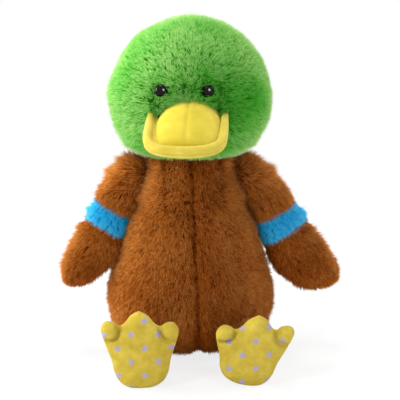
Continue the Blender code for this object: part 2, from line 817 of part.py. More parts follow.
def main():
    for old in list(bpy.data.objects):
        bpy.data.objects.remove(old)

    brown = make_material("brown_plush", (0.26, 0.08, 0.012), 0.95)
    green = make_material("green_plush", (0.10, 0.42, 0.035), 0.95)
    blue = make_material("blue_plush", (0.03, 0.32, 0.68), 0.95)
    yellow = make_material("yellow_velboa", (0.83, 0.66, 0.09), 0.85)
    stars = make_material("star_print_velboa", (0.72, 0.53, 0.05), 0.85)
    black = make_material("eye_black", (0.004, 0.004, 0.005), 0.08)
    plastic = make_material("washer_white", (0.8, 0.8, 0.78), 0.4)
    white = make_material("stuffing", (0.85, 0.85, 0.83), 0.95)
    beans = make_material("bean_pouch_cloth", (0.75, 0.73, 0.68), 0.9)

    floor = floor_block()
    torso = [make_torso_cover(brown), make_torso_filling(white)]
    make_bean_pouch(beans)
    make_tail(brown, white, torso_cutter("torso_outside"))

    neck_joint = Vector((0, 0, neck_joint_height))
    hang_on(axis_empty("neck_nod_axis", neck_joint), [make_neck_filling(white)])

    head = [make_head_cover(green), make_head_filling(white)]
    small = []
    for side, end in ((-1, "left"), (1, "right")):
        small += make_eye(side, end, black, plastic, *head)
    head_outside = head_cutter("head_outside")
    small += make_upper_bill(yellow, white, head_outside)
    small.append(make_lower_bill(yellow, head_outside))
    hang_on(axis_empty("head_turn_axis", neck_joint), head + small)

    leg_turns = [Matrix.Rotation(math.radians(leg_lift * share), 4, "X") for share in leg_cut_shares]
    hangs = {"left": wing_hang_left, "right": wing_hang_right}
    turns = {"left": foot_turned_left, "right": foot_turned_right}
    for side, end in ((-1, "left"), (1, "right")):
        wing = make_wing(side, end, hangs[end], brown, blue, white)
        shoulder = shoulder_place(side)
        seat_limb(f"shoulder_{end}", shoulder, shoulder_radius, shoulder_clearance, wing, torso, [Matrix()])
        hang_on(axis_empty(f"shoulder_{end}_axis", shoulder), wing)

        leg = make_leg(side, end, turns[end], brown, yellow, stars, white, floor)
        hip = hip_place(side)
        seat_limb(f"hip_{end}", hip, leg_radius, hip_clearance, leg[:1], torso, leg_turns)
        hang_on(axis_empty(f"hip_{end}_axis", hip), leg)


main()
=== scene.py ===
import json
import math

import bmesh
import bpy
import numpy as np
from mathutils import Matrix, Vector, noise


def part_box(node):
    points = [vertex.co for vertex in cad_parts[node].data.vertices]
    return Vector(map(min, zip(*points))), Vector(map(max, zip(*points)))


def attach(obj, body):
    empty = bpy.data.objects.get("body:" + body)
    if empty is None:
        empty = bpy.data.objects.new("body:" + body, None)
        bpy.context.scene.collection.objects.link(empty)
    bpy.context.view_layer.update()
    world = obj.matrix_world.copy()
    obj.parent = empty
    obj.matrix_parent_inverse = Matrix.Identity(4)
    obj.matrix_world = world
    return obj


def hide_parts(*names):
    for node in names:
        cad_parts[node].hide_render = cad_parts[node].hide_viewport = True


# A sitting plush duck: long-pile covers grown strand by strand over their stuffing, a padded bill with a
# rolled lip, glossy safety eyes and star-printed soles. Metres, +Z up, the duck faces -Y.
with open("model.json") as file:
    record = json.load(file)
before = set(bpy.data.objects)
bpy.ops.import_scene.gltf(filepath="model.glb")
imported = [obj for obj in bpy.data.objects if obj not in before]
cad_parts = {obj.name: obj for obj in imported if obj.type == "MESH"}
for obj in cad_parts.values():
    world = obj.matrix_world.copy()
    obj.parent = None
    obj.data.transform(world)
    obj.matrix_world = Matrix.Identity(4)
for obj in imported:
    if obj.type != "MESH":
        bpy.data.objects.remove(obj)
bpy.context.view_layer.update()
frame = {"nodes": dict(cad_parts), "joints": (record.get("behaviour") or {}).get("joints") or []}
joints = {joint["name"]: Vector(joint["pos_m"]) for joint in frame["joints"]}
sides = {"left": -1, "right": 1}   # as seen in the photo


def linear(hexColour):
    # sRGB hex to the linear colour that Blender works in
    channels = [int(hexColour[i:i + 2], 16) / 255 for i in (1, 3, 5)]
    return (*[c / 12.92 if c <= 0.04045 else ((c + 0.055) / 1.055) ** 2.4 for c in channels], 1.0)


def addNode(tree, kind, links=None, stops=None, **settings):
    # A node with its settings; a link comes from a socket, or from the first output of a node
    node = tree.nodes.new(kind)
    for name, value in settings.items():
        setattr(node, name, value)
    for socket, value in (links or {}).items():
        if isinstance(value, bpy.types.Node):
            value = value.outputs[0]
        if isinstance(value, bpy.types.NodeSocket):
            tree.links.new(value, node.inputs[socket])
        else:
            node.inputs[socket].default_value = value
    for i, (place, hexColour) in enumerate(stops or ()):
        elements = node.color_ramp.elements
        element = elements[i] if i < len(elements) else elements.new(place)
        element.position = place
        element.color = linear(hexColour)
    return node


def clamped(value):
    return min(max(value, 0.0), 1.0)


def newMaterial(name, roughness, specular=0.5, **values):
    material = bpy.data.materials.new(name)
    material.use_nodes = True
    shader = material.node_tree.nodes["Principled BSDF"]
    shader.inputs["Roughness"].default_value = roughness
    shader.inputs["Specular IOR Level"].default_value = specular
    for socket, value in values.items():
        shader.inputs[socket.replace("_", " ")].default_value = value
    return material, material.node_tree, shader


def mottle(tree, shader, size, stops, relief=None, strength=1.0, **noiseSettings):
    # Uneven colour, and relief if its depth is given, from one noise whose spots are this far apart
    place = addNode(tree, "ShaderNodeTexCoord")
    spots = addNode(tree, "ShaderNodeTexNoise", {
        "Vector": place.outputs["Object"], "Scale": 1 / size, **noiseSettings,
    })
    colour = addNode(tree, "ShaderNodeValToRGB", {"Fac": spots}, stops=stops)
    tree.links.new(colour.outputs["Color"], shader.inputs["Base Color"])
    if relief:
        bump = addNode(tree, "ShaderNodeBump", {"Height": spots, "Strength": strength, "Distance": relief})
        tree.links.new(bump.outputs["Normal"], shader.inputs["Normal"])


# Materials

pileShades = {
    # dark strands and pale ones, each from the backing to the tip: painted shade darkens every strand at the
    # backing and painted light makes its tip pale
    "brown": (
        ((0.0, "#441A02"), (0.5, "#783404"), (0.85, "#A8540C"), (1.0, "#C27A30")),
        ((0.0, "#441A02"), (0.45, "#A8540E"), (0.8, "#D48838"), (1.0, "#F0BC80")),
    ),
    "green": (
        ((0.0, "#106006"), (0.5, "#169A08"), (0.85, "#46BC24"), (1.0, "#AED480")),
        ((0.0, "#106006"), (0.45, "#42BC1C"), (0.8, "#AED87C"), (1.0, "#E6F0C8")),
    ),
    "blue": (
        ((0.0, "#006CA6"), (0.5, "#009EE2"), (0.85, "#08B2F2"), (1.0, "#3CC2F6")),
        ((0.0, "#006CA6"), (0.45, "#0CB6F4"), (0.8, "#54D0FE"), (1.0, "#A6E4FC")),
    ),
}
pileSheens = {"brown": ("#F0B478", 0.28), "green": ("#E8F4B4", 0.6), "blue": ("#C8ECFC", 0.12)}


def longPile(name, dye):
    # Brushed polyester pile with a soft sheen; painted shade darkens its fibres down at the backing and painted
    # light makes their ends pale
    sheen, weight = pileSheens[dye]
    material, tree, shader = newMaterial(name, 0.85, specular=0.03, Sheen_Weight=weight, Sheen_Roughness=0.45)
    shader.inputs["Sheen Tint"].default_value = linear(sheen)
    # across the map a strand's tone, which carries random differences and, on some pieces, painted shade and
    # painted light; up the map its height
    strandMap = addNode(tree, "ShaderNodeUVMap", uv_map="OFBake")
    parts = addNode(tree, "ShaderNodeSeparateXYZ", {"Vector": strandMap})
    dark, pale = [
        addNode(tree, "ShaderNodeValToRGB", {"Fac": parts.outputs["Y"]}, stops=stops)
        for stops in pileShades[dye]
    ]
    mixed = addNode(tree, "ShaderNodeMix", {"Factor": parts.outputs["X"], 6: dark, 7: pale}, data_type="RGBA")
    tree.links.new(mixed.outputs[2], shader.inputs["Base Color"])
    return material


velboaLook = {
    "mottling": 0.012,         # patches of brushed and of flattened nap
    "nap": 0.0016,             # twice its real size, because it would not show otherwise
    "napDepth": 0.0006,
    "napStrength": 0.35,
    "dome": ((0.3, "#C6B030"), (0.5, "#CDB837"), (0.7, "#D4C042")),
    # the lip a little paler than the dome, though it is the same velboa: painted sheen on its roll
    "lip": ((0.3, "#C4B03E"), (0.5, "#CCB846"), (0.7, "#D6C254")),
    # the feet darker than the bill's velboa: painted shade, as they sit low and face forward
    "foot": ((0.3, "#AE962A"), (0.5, "#BDA536"), (0.7, "#CAB446")),
}


def velboa(name, stops):
    # Knitted velboa: a pile of about a millimetre, which shows as a faint nap and soft mottling
    material, tree, shader = newMaterial(name, 0.8, specular=0.15, Sheen_Weight=0.1, Sheen_Roughness=0.4)
    mottle(tree, shader, velboaLook["mottling"], stops, Detail=4.0, Roughness=0.6)
    place = addNode(tree, "ShaderNodeTexCoord")
    nap = addNode(tree, "ShaderNodeTexNoise", {
        "Vector": place.outputs["Object"], "Scale": 1 / velboaLook["nap"], "Detail": 3.0, "Roughness": 0.7,
    })
    bump = addNode(tree, "ShaderNodeBump", {
        "Height": nap, "Strength": velboaLook["napStrength"], "Distance": velboaLook["napDepth"],
    })
    tree.links.new(bump.outputs["Normal"], shader.inputs["Normal"])
    return material


def mouldedEye():
    # Injection-moulded black plastic, polished in its mould: a clear, sharp highlight
    material, tree, shader = newMaterial("mouldedBlackEye", 0.04, specular=0.2, IOR=1.49)
    mottle(tree, shader, 0.004, ((0.3, "#010101"), (0.8, "#050505")))
    return material


def wadding():
    # Loose polyester fibre filling: off-white, matted and lumpy
    material, tree, shader = newMaterial("polyesterWadding", 0.95, Sheen_Weight=0.4)
    mottle(tree, shader, 0.003, ((0.3, "#D4D2CB"), (0.7, "#F4F3EF")), relief=0.001, strength=0.7,
           Detail=6.0, Distortion=1.5)
    return material


def pouchCloth():
    # Plain-woven polycotton: threads 0.5 mm apart, crossing over and under
    threadSpacing = 0.0005
    material, tree, shader = newMaterial("plainWovenCloth", 0.9)
    place = addNode(tree, "ShaderNodeTexCoord")
    weave = [
        addNode(tree, "ShaderNodeTexWave", {
            "Vector": place.outputs["Object"], "Scale": 1 / (threadSpacing * 20), "Distortion": 0.4,
        }, bands_direction=direction)
        for direction in "XY"
    ]
    cross = addNode(tree, "ShaderNodeMath", {0: weave[0].outputs["Fac"], 1: weave[1].outputs["Fac"]})
    colour = addNode(tree, "ShaderNodeValToRGB", {"Fac": cross}, stops=((0.2, "#BDB6A6"), (0.9, "#E2DDD0")))
    bump = addNode(tree, "ShaderNodeBump", {"Height": cross, "Distance": threadSpacing * 0.4})
    tree.links.new(colour.outputs["Color"], shader.inputs["Base Color"])
    tree.links.new(bump.outputs["Normal"], shader.inputs["Normal"])
    return material


def mouldedWasher():
    # Moulded polypropylene: milky white, waxy, faintly mottled by its flow in the mould
    material, tree, shader = newMaterial("mouldedPolypropylene", 0.4, IOR=1.49)
    mottle(tree, shader, 0.003, ((0.3, "#DCDCD6"), (0.7, "#F2F2EE")))
    return material


brownPile, greenPile, bluePile = [longPile(f"{dye}BrushedPile", dye) for dye in pileShades]
domeVelboa = velboa("yellowVelboa", velboaLook["dome"])
lipVelboa = velboa("yellowVelboaPaintedSheen", velboaLook["lip"])
footVelboaPaintedShade = velboa("footVelboaPaintedShade", velboaLook["foot"])
print("materials done")


# Shapes


def smoothPath(points, steps=10):
    # A dense run of points on a smooth curve through the given ones
    points = [Vector(point) for point in points]
    path = []
    for i in range(len(points) - 1):
        a, b = points[max(i - 1, 0)], points[i]
        c, d = points[i + 1], points[min(i + 2, len(points) - 1)]
        for k in range(steps):
            t = k / steps
            bent = 2 * b + (c - a) * t + (2 * a - 5 * b + 4 * c - d) * t**2 + (3 * b - a - 3 * c + d) * t**3
            path.append(bent / 2)
    return path + [points[-1]]


def evenly(path, count):
    # The path again, with this many equal steps
    reach = [0.0]
    for here, beyond in zip(path, path[1:]):
        reach.append(reach[-1] + (beyond - here).length)
    even, i = [], 0
    for k in range(count + 1):
        target = reach[-1] * k / count
        while i < len(path) - 2 and reach[i + 1] < target:
            i += 1
        t = (target - reach[i]) / max(reach[i + 1] - reach[i], 1e-9)
        even.append(path[i].lerp(path[i + 1], clamped(t)))
    return even


def offset(path, inward):
    # A (radius, height) path that runs with its form on its left, moved into the form
    moved = []
    for i, point in enumerate(path):
        run = (path[min(i + 1, len(path) - 1)] - path[max(i - 1, 0)]).normalized()
        moved.append(Vector((max(point.x - inward * run.y, 0.0), point.y + inward * run.x)))
    return moved


def tableAt(table, along):
    # Values of a table at this share along it, smoothly between its rows
    for i in range(len(table) - 1):
        if along <= table[i + 1][0] or i == len(table) - 2:
            a, b = table[max(i - 1, 0)], table[i]
            c, d = table[i + 1], table[min(i + 2, len(table) - 1)]
            t = clamped((along - b[0]) / (c[0] - b[0]))
            return [
                (2 * q + (r - p) * t + (2 * p - 5 * q + 4 * r - s) * t**2 + (3 * q - p - 3 * r + s) * t**3) / 2
                for p, q, r, s in zip(a[1:], b[1:], c[1:], d[1:])
            ]


def bell(distance, width):
    return math.exp(-((distance / width) ** 2))


unevenness = {"height": 0.0018, "size": 0.028, "seed": 1}
noise.seed_set(unevenness["seed"])   # noise_vector has a seed from the clock otherwise


def uneven(point):
    # Stuffing never fills a cover evenly
    return noise.noise_vector(point / unevenness["size"]) * unevenness["height"]


def rotation(degrees, axis):
    return Matrix.Rotation(math.radians(degrees), 4, axis)


def inOrder(bm):
    # The same mesh with its faces sorted: Blender orders those of a sphere or a spun form anew in each
    # run, and the places of strands go by it
    bm.verts.index_update()
    faces = []
    for face in bm.faces:
        corners = [vert.index for vert in face.verts]
        first = corners.index(min(corners))
        faces.append(corners[first:] + corners[:first])
    fresh = bmesh.new()
    verts = [fresh.verts.new(vert.co) for vert in bm.verts]
    for corners in sorted(faces):
        fresh.faces.new([verts[k] for k in corners])
    bm.free()
    return fresh


def shapedBall(name, around, rows, place, material=None, furry=False):
    # A closed ball of rings from its lower pole to its upper one, each vertex moved to place(turn, row)
    bm = bmesh.new()
    bmesh.ops.create_uvsphere(bm, u_segments=around, v_segments=len(rows) - 1, radius=1)
    bm = inOrder(bm)
    if furry:
        # the skin under a pile keeps each vertex's row, and lies where the strands' map has the roots' painted
        # shade
        rowLayer = bm.verts.layers.float.new("row")
        bakeLayer = bm.loops.layers.uv.new("OFBake")
        for face in bm.faces:
            for loop in face.loops:
                turn = math.atan2(loop.vert.co.y, loop.vert.co.x)
                loop[bakeLayer].uv = (0.5 + turn / 7, 0.02 - 0.015 * loop.vert.co.z)
    for vert in bm.verts:
        turn = math.atan2(vert.co.y, vert.co.x)
        row = round(math.acos(min(max(-vert.co.z, -1.0), 1.0)) / math.pi * (len(rows) - 1))
        if furry:
            vert[rowLayer] = row
        vert.co = place(turn, rows[row])
    bm.normal_update()
    bmesh.ops.recalc_face_normals(bm, faces=bm.faces)
    return finished(name, bm, material)


def finished(name, bm, material=None):
    mesh = bpy.data.meshes.new(name)
    bm.to_mesh(mesh)
    bm.free()
    mesh.shade_smooth()
    if material:
        mesh.materials.append(material)
    piece = bpy.data.objects.new(name, mesh)
    bpy.context.scene.collection.objects.link(piece)
    return piece


def applied(piece):
    # The piece with its modifier made part of its mesh
    grown = bpy.data.meshes.new_from_object(piece.evaluated_get(bpy.context.evaluated_depsgraph_get()))
    piece.modifiers.clear()
    piece.data = grown
    return grown


def settle(piece, body, slot, *nodes, fill=None):
    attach(piece, body)
    if nodes:
        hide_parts(*nodes)


# Pile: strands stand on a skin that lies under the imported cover's surface

strand = {
    "ring": 0.5,       # where it is widest, as a share of its length
    "bend": 4.0,       # how far the tip leans, in strand widths
    "softness": 0.6,   # share of the skin's own shading in each strand's
    "floor": 0.0004,   # nothing reaches lower
    "shades": (0.02, 0.95),
    # its place on the map: up from its root, by its length, and across by its shade and round its side
    "mapRoot": 0.05,
    "mapLength": 0.92,
    "mapRound": 0.03,
}


def makeStrand():
    # A tuft of fibres: a slender three-sided spindle one unit high, bent towards +X
    bm = bmesh.new()
    bmesh.ops.create_cone(bm, cap_ends=True, segments=3, radius1=1, radius2=0, depth=1 - strand["ring"])
    bmesh.ops.remove_doubles(bm, verts=bm.verts, dist=1e-5)
    bmesh.ops.translate(bm, verts=bm.verts, vec=(0, 0, (1 + strand["ring"]) / 2))
    cap = min(bm.faces, key=lambda face: face.calc_center_median().z)
    root = bmesh.ops.poke(bm, faces=[cap])["verts"][0]
    root.co.z = 0
    along = bm.verts.layers.float.new("along")
    side = bm.verts.layers.float.new("side")
    for vert in bm.verts:
        around = (math.atan2(vert.co.y, vert.co.x) / math.tau) % 1.0
        vert[side] = around
        vert[along] = vert.co.z + 0.02 * around
        vert.co.x += strand["bend"] * vert.co.z**2
    piece = finished("strand", bm)
    piece.hide_render = True
    return piece


strandPiece = makeStrand()
print("strand:", len(strandPiece.data.polygons), "faces")


def growPile(skin, coat, describe, material):
    # Strands on the skin; describe(point, normal, row) says how thick, long, pale and which way they lie
    mesh = skin.data
    rows = [item.value for item in mesh.attributes["row"].data]
    facts = [describe(vert.co, vert.normal, row) for vert, row in zip(mesh.vertices, rows)]
    for name in ("cover", "long", "tone"):
        layer = mesh.attributes.new(name, "FLOAT", "POINT")
        layer.data.foreach_set("value", [fact[name] for fact in facts])
    combs = []
    for vert, fact in zip(mesh.vertices, facts):
        comb = fact["comb"] - vert.normal * fact["comb"].dot(vert.normal)
        combs.extend(comb if comb.length > 0.01 else vert.normal.orthogonal() * 0.01)
    mesh.attributes.new("comb", "FLOAT_VECTOR", "POINT").data.foreach_set("vector", combs)

    tree = bpy.data.node_groups.new(f"{skin.name} pile", "GeometryNodeTree")
    for way in ("INPUT", "OUTPUT"):
        tree.interface.new_socket("Geometry", in_out=way, socket_type="NodeSocketGeometry")
    base = addNode(tree, "NodeGroupInput")
    named = {}
    for name in ("cover", "long", "tone", "comb", "along", "side", "strandTone"):
        named[name] = addNode(tree, "GeometryNodeInputNamedAttribute", {"Name": name},
                              data_type="FLOAT_VECTOR" if name == "comb" else "FLOAT")
    density = addNode(tree, "ShaderNodeMath", {0: named["cover"], 1: coat["perSquareMetre"]},
                      operation="MULTIPLY")
    points = addNode(tree, "GeometryNodeDistributePointsOnFaces", {
        "Mesh": base, "Density": density, "Seed": coat["seed"],
    })
    place = addNode(tree, "GeometryNodeInputPosition")
    tuft = addNode(tree, "ShaderNodeTexVoronoi", {"Scale": 1 / coat["tuft"]})
    swirl = addNode(tree, "ShaderNodeTexNoise", {"Scale": 1 / coat["swirlSize"], "Detail": 1.0})
    stray = addNode(tree, "FunctionNodeRandomValue", {
        0: (-1.0, -1.0, -1.0), 1: (1.0, 1.0, 1.0), "Seed": coat["seed"] + 1,
    }, data_type="FLOAT_VECTOR")
    toTuft = addNode(tree, "ShaderNodeVectorMath", {0: tuft.outputs["Position"], 1: place},
                     operation="SUBTRACT")
    swing = addNode(tree, "ShaderNodeVectorMath", {0: swirl.outputs["Color"], 1: (0.5, 0.5, 0.5)},
                    operation="SUBTRACT")
    total = None
    for vector, amount in (
        (points.outputs["Normal"], coat["upright"]),
        (named["comb"], coat["lay"]),
        (toTuft, coat["gather"] / coat["length"]),
        (swing, coat["swirl"]),
        (stray, coat["stray"]),
    ):
        scaled = addNode(tree, "ShaderNodeVectorMath", {0: vector, "Scale": amount}, operation="SCALE")
        total = addNode(tree, "ShaderNodeVectorMath", {0: total, 1: scaled}) if total else scaled
    upright = addNode(tree, "FunctionNodeAlignRotationToVector", {"Vector": total}, axis="Z")
    facing = addNode(tree, "FunctionNodeAlignRotationToVector", {
        "Rotation": upright, "Vector": named["comb"],
    }, axis="X", pivot_axis="Z")
    varied, chance = [
        addNode(tree, "FunctionNodeRandomValue", {
            2: middle - spread, 3: middle + spread, "Seed": coat["seed"] + number,
        }, data_type="FLOAT").outputs[1]
        for middle, spread, number in ((1, coat["uneven"], 2), (0, coat["toneSpread"], 3))
    ]
    reach = addNode(tree, "ShaderNodeMath", {0: varied, 1: named["long"]}, operation="MULTIPLY")
    size = addNode(tree, "ShaderNodeCombineXYZ", {
        "X": coat["strandRadius"], "Y": coat["strandRadius"], "Z": reach,
    })
    fibre = addNode(tree, "GeometryNodeObjectInfo", {"Object": strandPiece})
    instances = addNode(tree, "GeometryNodeInstanceOnPoints", {
        "Points": points, "Instance": fibre.outputs["Geometry"], "Rotation": facing, "Scale": size,
    })
    shade = addNode(tree, "ShaderNodeMath", {0: chance, 1: named["tone"]})
    darkest, palest = strand["shades"]
    kept = addNode(tree, "ShaderNodeClamp", {"Value": shade, "Min": darkest, "Max": palest})
    toned = addNode(tree, "GeometryNodeStoreNamedAttribute", {
        "Geometry": instances, "Name": "strandTone", "Value": kept,
    }, domain="INSTANCE", data_type="FLOAT")
    rooted = addNode(tree, "GeometryNodeStoreNamedAttribute", {
        "Geometry": toned, "Name": "rootNormal", "Value": points.outputs["Normal"],
    }, domain="INSTANCE", data_type="FLOAT_VECTOR")
    real = addNode(tree, "GeometryNodeRealizeInstances", {"Geometry": rooted})

    # the map that the pile's material reads, and a floor that no strand goes through
    across = addNode(tree, "ShaderNodeMath", {0: named["side"], 1: strand["mapRound"], 2: named["strandTone"]},
                     operation="MULTIPLY_ADD")
    upwards = addNode(tree, "ShaderNodeMath", {0: named["along"], 1: strand["mapLength"], 2: strand["mapRoot"]},
                      operation="MULTIPLY_ADD")
    mapped = addNode(tree, "ShaderNodeCombineXYZ", {"X": across, "Y": upwards})
    unwrapped = addNode(tree, "GeometryNodeStoreNamedAttribute", {
        "Geometry": real, "Name": "OFBake", "Value": mapped,
    }, domain="CORNER", data_type="FLOAT2")
    parts = addNode(tree, "ShaderNodeSeparateXYZ", {"Vector": place})
    raised = addNode(tree, "ShaderNodeMath", {0: parts.outputs["Z"], 1: strand["floor"]},
                     operation="MAXIMUM")
    lifted = addNode(tree, "ShaderNodeCombineXYZ", {
        "X": parts.outputs["X"], "Y": parts.outputs["Y"], "Z": raised,
    })
    standing = addNode(tree, "GeometryNodeSetPosition", {"Geometry": unwrapped, "Position": lifted})
    joined = addNode(tree, "GeometryNodeJoinGeometry")
    for part in (base, standing):
        tree.links.new(part.outputs[0], joined.inputs[0])
    dressed = addNode(tree, "GeometryNodeSetMaterial", {"Geometry": joined, "Material": material})
    addNode(tree, "NodeGroupOutput", {0: dressed})

    skin.modifiers.new("pile", "NODES").node_group = tree
    grown = applied(skin)
    soften(grown)
    for name in (*named, "rootNormal", "row"):
        if name in grown.attributes:
            grown.attributes.remove(grown.attributes[name])
    print(f"{skin.name}: {len(grown.polygons)} faces")


def soften(mesh):
    # Strands take most of their shading from the skin under them, so the pile reads as one soft surface
    mesh.shade_smooth()
    count = len(mesh.vertices)
    own, rooted = np.empty(count * 3, np.float32), np.empty(count * 3, np.float32)
    mesh.vertex_normals.foreach_get("vector", own)
    mesh.attributes["rootNormal"].data.foreach_get("vector", rooted)
    mixed = own.reshape(-1, 3) * (1 - strand["softness"]) + rooted.reshape(-1, 3) * strand["softness"]
    mixed /= np.maximum(np.linalg.norm(mixed, axis=1, keepdims=True), 1e-6)
    mesh.normals_split_custom_set_from_vertices(mixed)


pile = {
    "sunk": 0.0055,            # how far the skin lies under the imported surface
    "length": 0.0080,
    "strandRadius": 0.00031,
    "perSquareMetre": 1.9e6,
    "tone": 0.5,               # from dark strands at 0 to pale ones at 1
    # which way strands point, as shares: off the skin, along the comb, to their tuft, in swirls, at random
    "upright": 0.8,
    "lay": 0.62,
    "gather": 0.7,
    "swirl": 1.3,
    "stray": 0.42,
    "tuft": 0.0046,            # spacing of the tufts
    "swirlSize": 0.009,
    "uneven": 0.25,            # spread of the strands' lengths
    "toneSpread": 0.4,         # and of their shades
}
quickShare = 1.0
pile["perSquareMetre"] *= quickShare
pile["strandRadius"] /= math.sqrt(quickShare)


def pileOf(seed, **changes):
    return {**pile, "seed": seed, **changes}


# Torso

torso = {
    # height as a share of the neck joint's, half width as a share of the widest
    "outline": ((0.0, 0.42), (0.02, 0.60), (0.065, 0.795), (0.13, 0.925), (0.22, 0.99), (0.31, 1.0),
                (0.42, 0.955), (0.55, 0.86), (0.72, 0.735), (0.88, 0.585), (0.95, 0.515)),
    "neckRadius": 0.037,
    "openingAngle": 42.0,
    "skin": 0.001,             # thickness of the knitted backing
    "seat": 0.0008,
    "evenBelow": 0.01,         # the seat stays flat up to this height
    "evenFade": 0.02,          # and is fully uneven this much higher
    "seamDepth": 0.0035,
    "seamWidth": 0.0045,
    "seamDrift": 0.005,        # the front seam leans this far to the right at the seat
    "seamFront": 0.01,         # it starts this far in front of the middle and is deepest as far again
    "seamTop": 0.03,           # and ends this far over the neck joint
    "rings": 64,
    "around": 160,
}
torsoFur = {
    "bareFacing": -0.93,       # nothing grows where the seat faces down more than this
    "top": 0.026,              # nor this far over the neck joint
    "partWidth": 0.005,        # at the front seam the pile parts and is shorter, and painted shade darkens its groove
    "partShort": 0.3,
    "partComb": 0.9,
    "seamShade": 0.6,
    "seamShadeWidth": 0.0035,
    "sideShade": 0.25,         # a wider, fainter painted shade lies to the right of the seam
    "sideShadeAt": 0.011,
    "sideShadeWidth": 0.010,
    "shoulderOut": 0.022,      # beyond this far from the middle, the pile round the neck is long and loose
    "shoulderBelow": 0.03,
    "shoulderAbove": 0.012,
    "shoulderLong": 1.5,
    "shoulderComb": 0.3,
    "underHead": 0.7,
    "seatHeight": 0.012,
    "atSeat": 0.75,
}
neck = joints["neck_nod"]
torsoLow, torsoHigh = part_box("torso_cover")
torso["halfWidth"] = (torsoHigh.x - torsoLow.x) / 2
torso["halfDepth"] = (torsoHigh.y - torsoLow.y) / 2


def torsoRows():
    outer = [(torso["halfWidth"] * wide, neck.z * high) for high, wide in torso["outline"]]
    outer.insert(0, (0.0, 0.0))
    for k in range(4):
        angle = math.radians((90 - torso["openingAngle"]) * k / 3)
        outer.append((torso["neckRadius"] * math.cos(angle), neck.z + torso["neckRadius"] * math.sin(angle)))
    path = smoothPath(outer)
    skin = offset(path, pile["sunk"])
    inside = offset(path, pile["sunk"] + torso["skin"])
    rows = evenly(skin, torso["rings"]) + evenly(inside, torso["rings"] // 2)[::-1]
    for i, row in enumerate(rows):
        row.y = max(row.y, torso["seat"] + (torso["skin"] if i > torso["rings"] else 0.0))
    rows[0].x = rows[-1].x = 0.0
    return rows


def seamAcross(height):
    return torso["seamDrift"] * (1 - height / neck.z)


def seamGroove(point):
    # How far the front seam pulls the cover and its wadding inward here
    front = -point.y - torso["seamFront"]
    if front < 0 or point.z > neck.z + torso["seamTop"]:
        return 0.0
    groove = torso["seamDepth"] * bell(point.x - seamAcross(point.z), torso["seamWidth"])
    return groove * min(1.0, front / torso["seamFront"])


def torsoUneven(point):
    return uneven(point) * clamped((point.z - torso["evenBelow"]) / torso["evenFade"])


def torsoPlace(turn, row):
    below = clamped((neck.z - row.y) / (neck.z / 2))
    flattened = (1 - torso["halfDepth"] / torso["halfWidth"]) * below * below * (3 - 2 * below)
    point = Vector((row.x * math.cos(turn), row.x * math.sin(turn) * (1 - flattened), row.y))
    point.y += seamGroove(point)
    return point + torsoUneven(point)


patchSizes = ((0.3, 24), (0.15, 70))   # how strong, and how many to the metre


def patches(point):
    # Brushed pile lies unevenly, so it looks lighter and darker in patches of a few centimetres
    return sum(strength * noise.noise(point * perMetre) for strength, perMetre in patchSizes)


def torsoPile(point, normal, row):
    fur = torsoFur
    grows = row <= torso["rings"] and normal.z > fur["bareFacing"] and point.z < neck.z + fur["top"]
    long = pile["length"]
    tone = pile["tone"]
    comb = Vector((0, 0, -1))
    fromSeam = point.x - seamAcross(point.z)
    if point.y < 0:
        parting = bell(fromSeam, fur["partWidth"])
        long *= 1 - fur["partShort"] * parting
        # painted shade in the seam's groove and in a wide band to its right
        tone -= (fur["seamShade"] * bell(fromSeam, fur["seamShadeWidth"])
                 + fur["sideShade"] * bell(fromSeam - fur["sideShadeAt"], fur["sideShadeWidth"]))
        comb.x += fur["partComb"] * parting * math.copysign(1.0, fromSeam)
    aroundNeck = neck.z - fur["shoulderBelow"] < point.z < neck.z + fur["shoulderAbove"]
    if aroundNeck and abs(point.x) > fur["shoulderOut"]:
        long *= fur["shoulderLong"]
        comb *= fur["shoulderComb"]
    elif point.z > neck.z:
        long *= fur["underHead"]
    if point.z < fur["seatHeight"]:
        long *= fur["atSeat"]
    tone += patches(point)
    return {"cover": float(grows), "long": long, "tone": tone, "comb": comb}


torsoPlush = shapedBall("torsoPlush", torso["around"], torsoRows(), torsoPlace, furry=True)
growPile(torsoPlush, pileOf(10), torsoPile, brownPile)
settle(torsoPlush, "torso", "brown_plush", "torso_cover", fill=0.8)
print("torso done")


# Head

